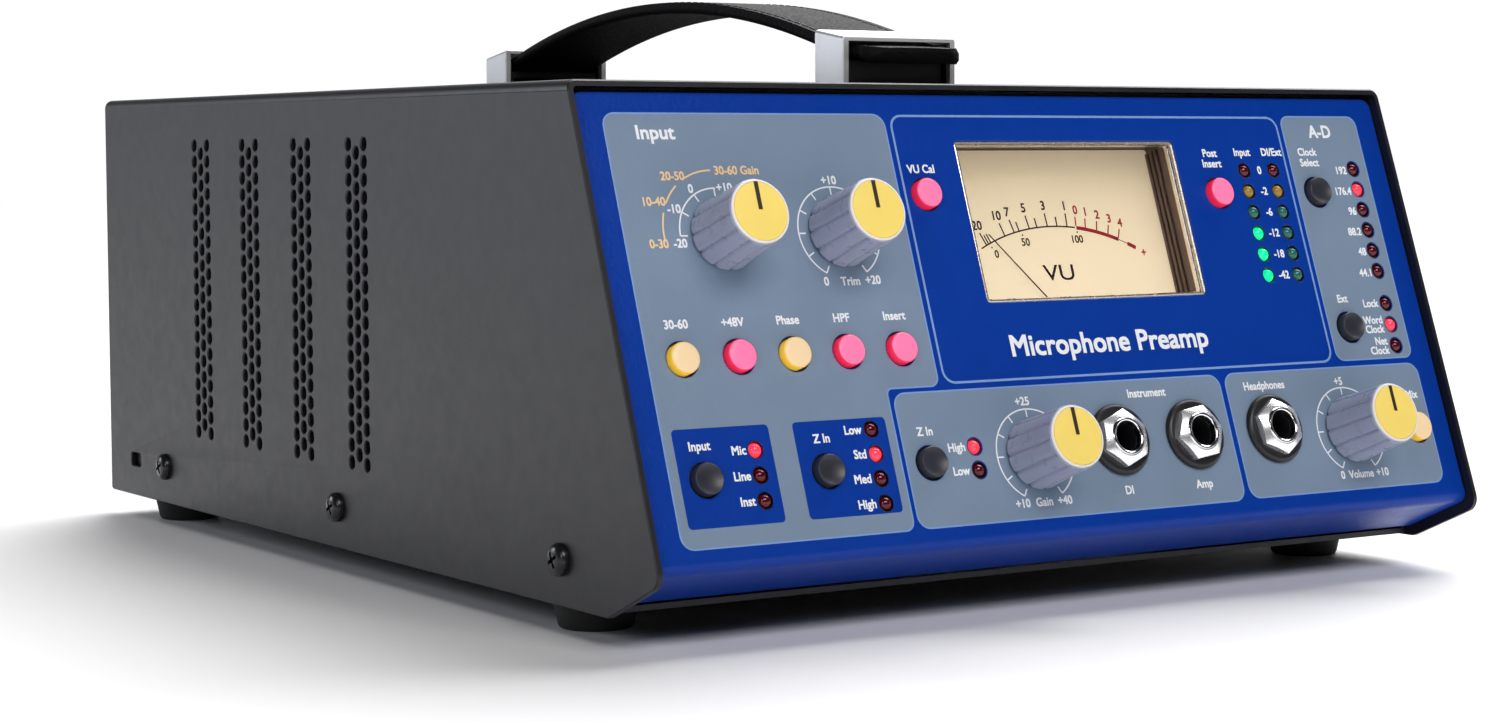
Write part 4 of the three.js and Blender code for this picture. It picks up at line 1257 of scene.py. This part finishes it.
def build_feet():
    names = ["front_left", "front_right", "rear_left", "rear_right"]
    places = [(x, y) for y in (48, 264) for x in (-98, 98)]
    profile = [
        (0, -3.2), (2.9, -3.2), (3.1, -3.4), (3.2, -5.6), (3.5, -6.0), (7.0, -6.0), (7.5, -5.8), (7.8, -5.3),
        (8.85, -0.4), (8.95, 0.0), (8.8, 0.25), (2.4, 0.25), (2.4, 2.6), (0, 2.6),
    ]
    for name, place in zip(names, places):
        bm = bmesh.new()
        lathe(bm, profile, 56, place)
        show("rubber_" + name, bm, CASE, "case", "foot_rubber", RUBBER, stands_for=["foot_" + name], sharp=35)
        bm = bmesh.new()
        lathe(bm, [(0, -3.9), (1.6, -3.85), (2.5, -3.6), (2.7, -3.22), (0, -3.22)], 32, place)
        show("foot_screw_" + name, bm, CASE, "case", "bright_metal", STEEL, sharp=40)


# ---------------------------------------------------------------- camera, light and floor
def build_camera():
    """The camera stands low, in front of the case's left corner, and looks a little down."""
    data = bpy.data.cameras.new("camera")
    data.sensor_width = 36
    data.lens = 69.84
    data.clip_start, data.clip_end = 0.01, 50
    camera = bpy.data.objects.new("camera", data)
    scene.collection.objects.link(camera)
    azimuth, down, roll = math.radians(32.96), math.radians(4.13), math.radians(-0.186)
    ahead = math.cos(down)
    forward = Vector((math.sin(azimuth) * ahead, math.cos(azimuth) * ahead, -math.sin(down)))
    level = Vector((math.cos(azimuth), -math.sin(azimuth), 0))
    straight = level.cross(forward)
    right = level * math.cos(roll) + straight * math.sin(roll)
    up = straight * math.cos(roll) - level * math.sin(roll)
    turn = Matrix((right, up, -forward)).transposed().to_4x4()
    place = CASE @ Vector((-391.3, -462.3, 90.04))
    camera.matrix_world = Matrix.Translation(place) @ turn
    scene.camera = camera


def build_floor():
    """A flat white floor of four squares."""
    bm = bmesh.new()
    side = 6.0
    for x in (-side, 0):
        for y in (-side, 0):
            square = ((x, y, 0), (x + side, y, 0), (x + side, y + side, 0), (x, y + side, 0))
            bm.faces.new([bm.verts.new(p) for p in square])
    mesh = bpy.data.meshes.new("floor")
    bm.to_mesh(mesh)
    bm.free()
    floor = bpy.data.objects.new("floor", mesh)
    look = Look("floor_white", (0.90, 0.90, 0.91), 0.6, mottle=0.005)
    mesh.materials.append(look.material)
    scene.collection.objects.link(floor)


def area_light(name, place, target, size, power, color):
    data = bpy.data.lights.new(name, "AREA")
    data.shape = "RECTANGLE"
    data.size, data.size_y = size
    data.energy = power
    data.color = color
    light = bpy.data.objects.new(name, data)
    light.location = place
    light.rotation_euler = (Vector(target) - Vector(place)).to_track_quat("-Z", "Y").to_euler()
    scene.collection.objects.link(light)


def build_room():
    """The surroundings: their brightness is a product of one smooth ramp along each axis."""
    world = bpy.data.worlds.new("studio")
    world.use_nodes = True
    tree = world.node_tree
    coords = tree.nodes.new("ShaderNodeTexCoord")
    split = tree.nodes.new("ShaderNodeSeparateXYZ")
    tree.links.new(coords.outputs["Generated"], split.inputs[0])
    level = None
    for axis, *values in (
        ("Y", -0.1, 0.6, 0.05, 1.0), ("X", -0.2, 0.25, 0.22, 1.0), ("Z", 0.4, 0.12, 0.22, 1.02),
    ):
        ramp = tree.nodes.new("ShaderNodeMapRange")
        ramp.interpolation_type = "SMOOTHSTEP"
        for socket, value in zip(("From Min", "From Max", "To Min", "To Max"), values):
            ramp.inputs[socket].default_value = value
        tree.links.new(split.outputs[axis], ramp.inputs["Value"])
        if level:
            product = tree.nodes.new("ShaderNodeMath")
            product.operation = "MULTIPLY"
            tree.links.new(level, product.inputs[0])
            tree.links.new(ramp.outputs["Result"], product.inputs[1])
            level = product.outputs[0]
        else:
            level = ramp.outputs["Result"]
    back = tree.nodes["Background"]
    back.inputs["Color"].default_value = (1, 1, 1, 1)
    tree.links.new(level, back.inputs["Strength"])
    scene.world = world


def build_light():
    """A bright sweep behind, a broad light above, and a darker room in front, as in a product studio."""
    build_room()
    data = bpy.data.lights.new("overhead", "SUN")
    data.energy = 4.1
    data.angle = math.radians(55)
    overhead = bpy.data.objects.new("overhead", data)
    overhead.rotation_euler = Vector((0.75, 0.55, 1)).to_track_quat("Z", "Y").to_euler()
    scene.collection.objects.link(overhead)
    area_light("key", (-0.2, -1.7, 1.5), (0, -0.1, 0.05), (1.4, 0.7), 24, (1.0, 0.98, 0.96))
    area_light("side", (-1.3, -0.9, 0.7), (-0.1, -0.1, 0.07), (0.4, 0.6), 4, (0.90, 0.93, 1.0))
    area_light("rear_left", (-1.7, 2.1, 0.75), (-0.11, -0.1, 0.08), (0.5, 0.8), 11, (0.88, 0.92, 1.0))
    scene.view_settings.view_transform = "Standard"


def build_inside():
    """The CAD nodes that stay as they are."""
    for look, nodes in (
        # The chassis tray is steel, but takes the black coat as painted shade, so that its front edge under
        # the panel's bend stays dark.
        (POWDER_AND_SHADE, ["chassis_tray", "rear_panel"]), (CHROME, ["mic_socket_latch"]),
        (TAPE, ["mains_transformer"]),
        (BLACK, ["mains_inlet", "power_rocker", "mic_socket", "output_socket", "rear_jack_board"]),
        (BOARD, ["main_board", "front_board"]), (STEEL, ["input_transformer", "meter_movement"]),
    ):
        for node in nodes:
            paint_node(node, look)


def build_rear_nuts():
    """The hexagonal nuts that hold the rear quarter-inch and clock sockets to their panel."""
    rear_face = 287.1
    bm = bmesh.new()
    jacks = [(x, 30, 6.3, 4.65, 0.3 * k) for k, x in enumerate((36, 58, 80))]
    clocks = [(x, 74, 7.0, 4.95, 0.4 * k) for k, x in enumerate((-14, 8))]
    for x, z, corner, bore, turn in jacks + clocks:
        sheet(
            bm, circle(x, z, corner, 6, turn), [circle(x, z, bore, 32)], 2.4, 0.1, 0.25,
            shape=lambda x, z, h: (x, rear_face + h, z),
        )
    show("rear_nuts", bm, CASE, "case", "bright_metal", NUT_PLATE)


def build_gap_shade_block():
    """A dark block under the cover's front edge, put in the gap above the panel as painted shade."""
    bm = bmesh.new()
    high = HEIGHT - SHEET - 0.08
    block(bm, (BEND - HALF, HALF - BEND), (SETBACK + 6, SETBACK + 9), (high - 3.6, high), 0.4)
    show("gap_strip", bm, CASE, "case", "black_plastic", RUBBER)


build_camera()
build_floor()
build_light()
build_inside()
build_cover()
build_panel()
build_printed_areas()
build_outlines()
build_labels()
build_range_labels()
for knob, spot in KNOBS.items():
    build_knob(knob, spot)
build_knob_seats()
for places, face, side, slot in (
    (PINK, PINK_FACE, PINK_SIDE, "button_pink"), (AMBER, AMBER_FACE, AMBER_SIDE, "button_amber"),
):
    for button, spot in places.items():
        build_button(button, spot, face, side, slot)
for button, spot in DARK.items():
    build_dark_button(button, spot)
build_light_pipes()
build_lights()
for (socket, spot), nut_turn in zip(SOCKETS.items(), NUT_TURNS):
    build_socket(socket, spot, nut_turn)
build_dial()
build_meter_case()
build_needle()
build_window()
build_strap()
build_cap("cap_front", -1)
build_cap("cap_rear", 1)
build_screws()
build_feet()
build_rear_nuts()
build_gap_shade_block()
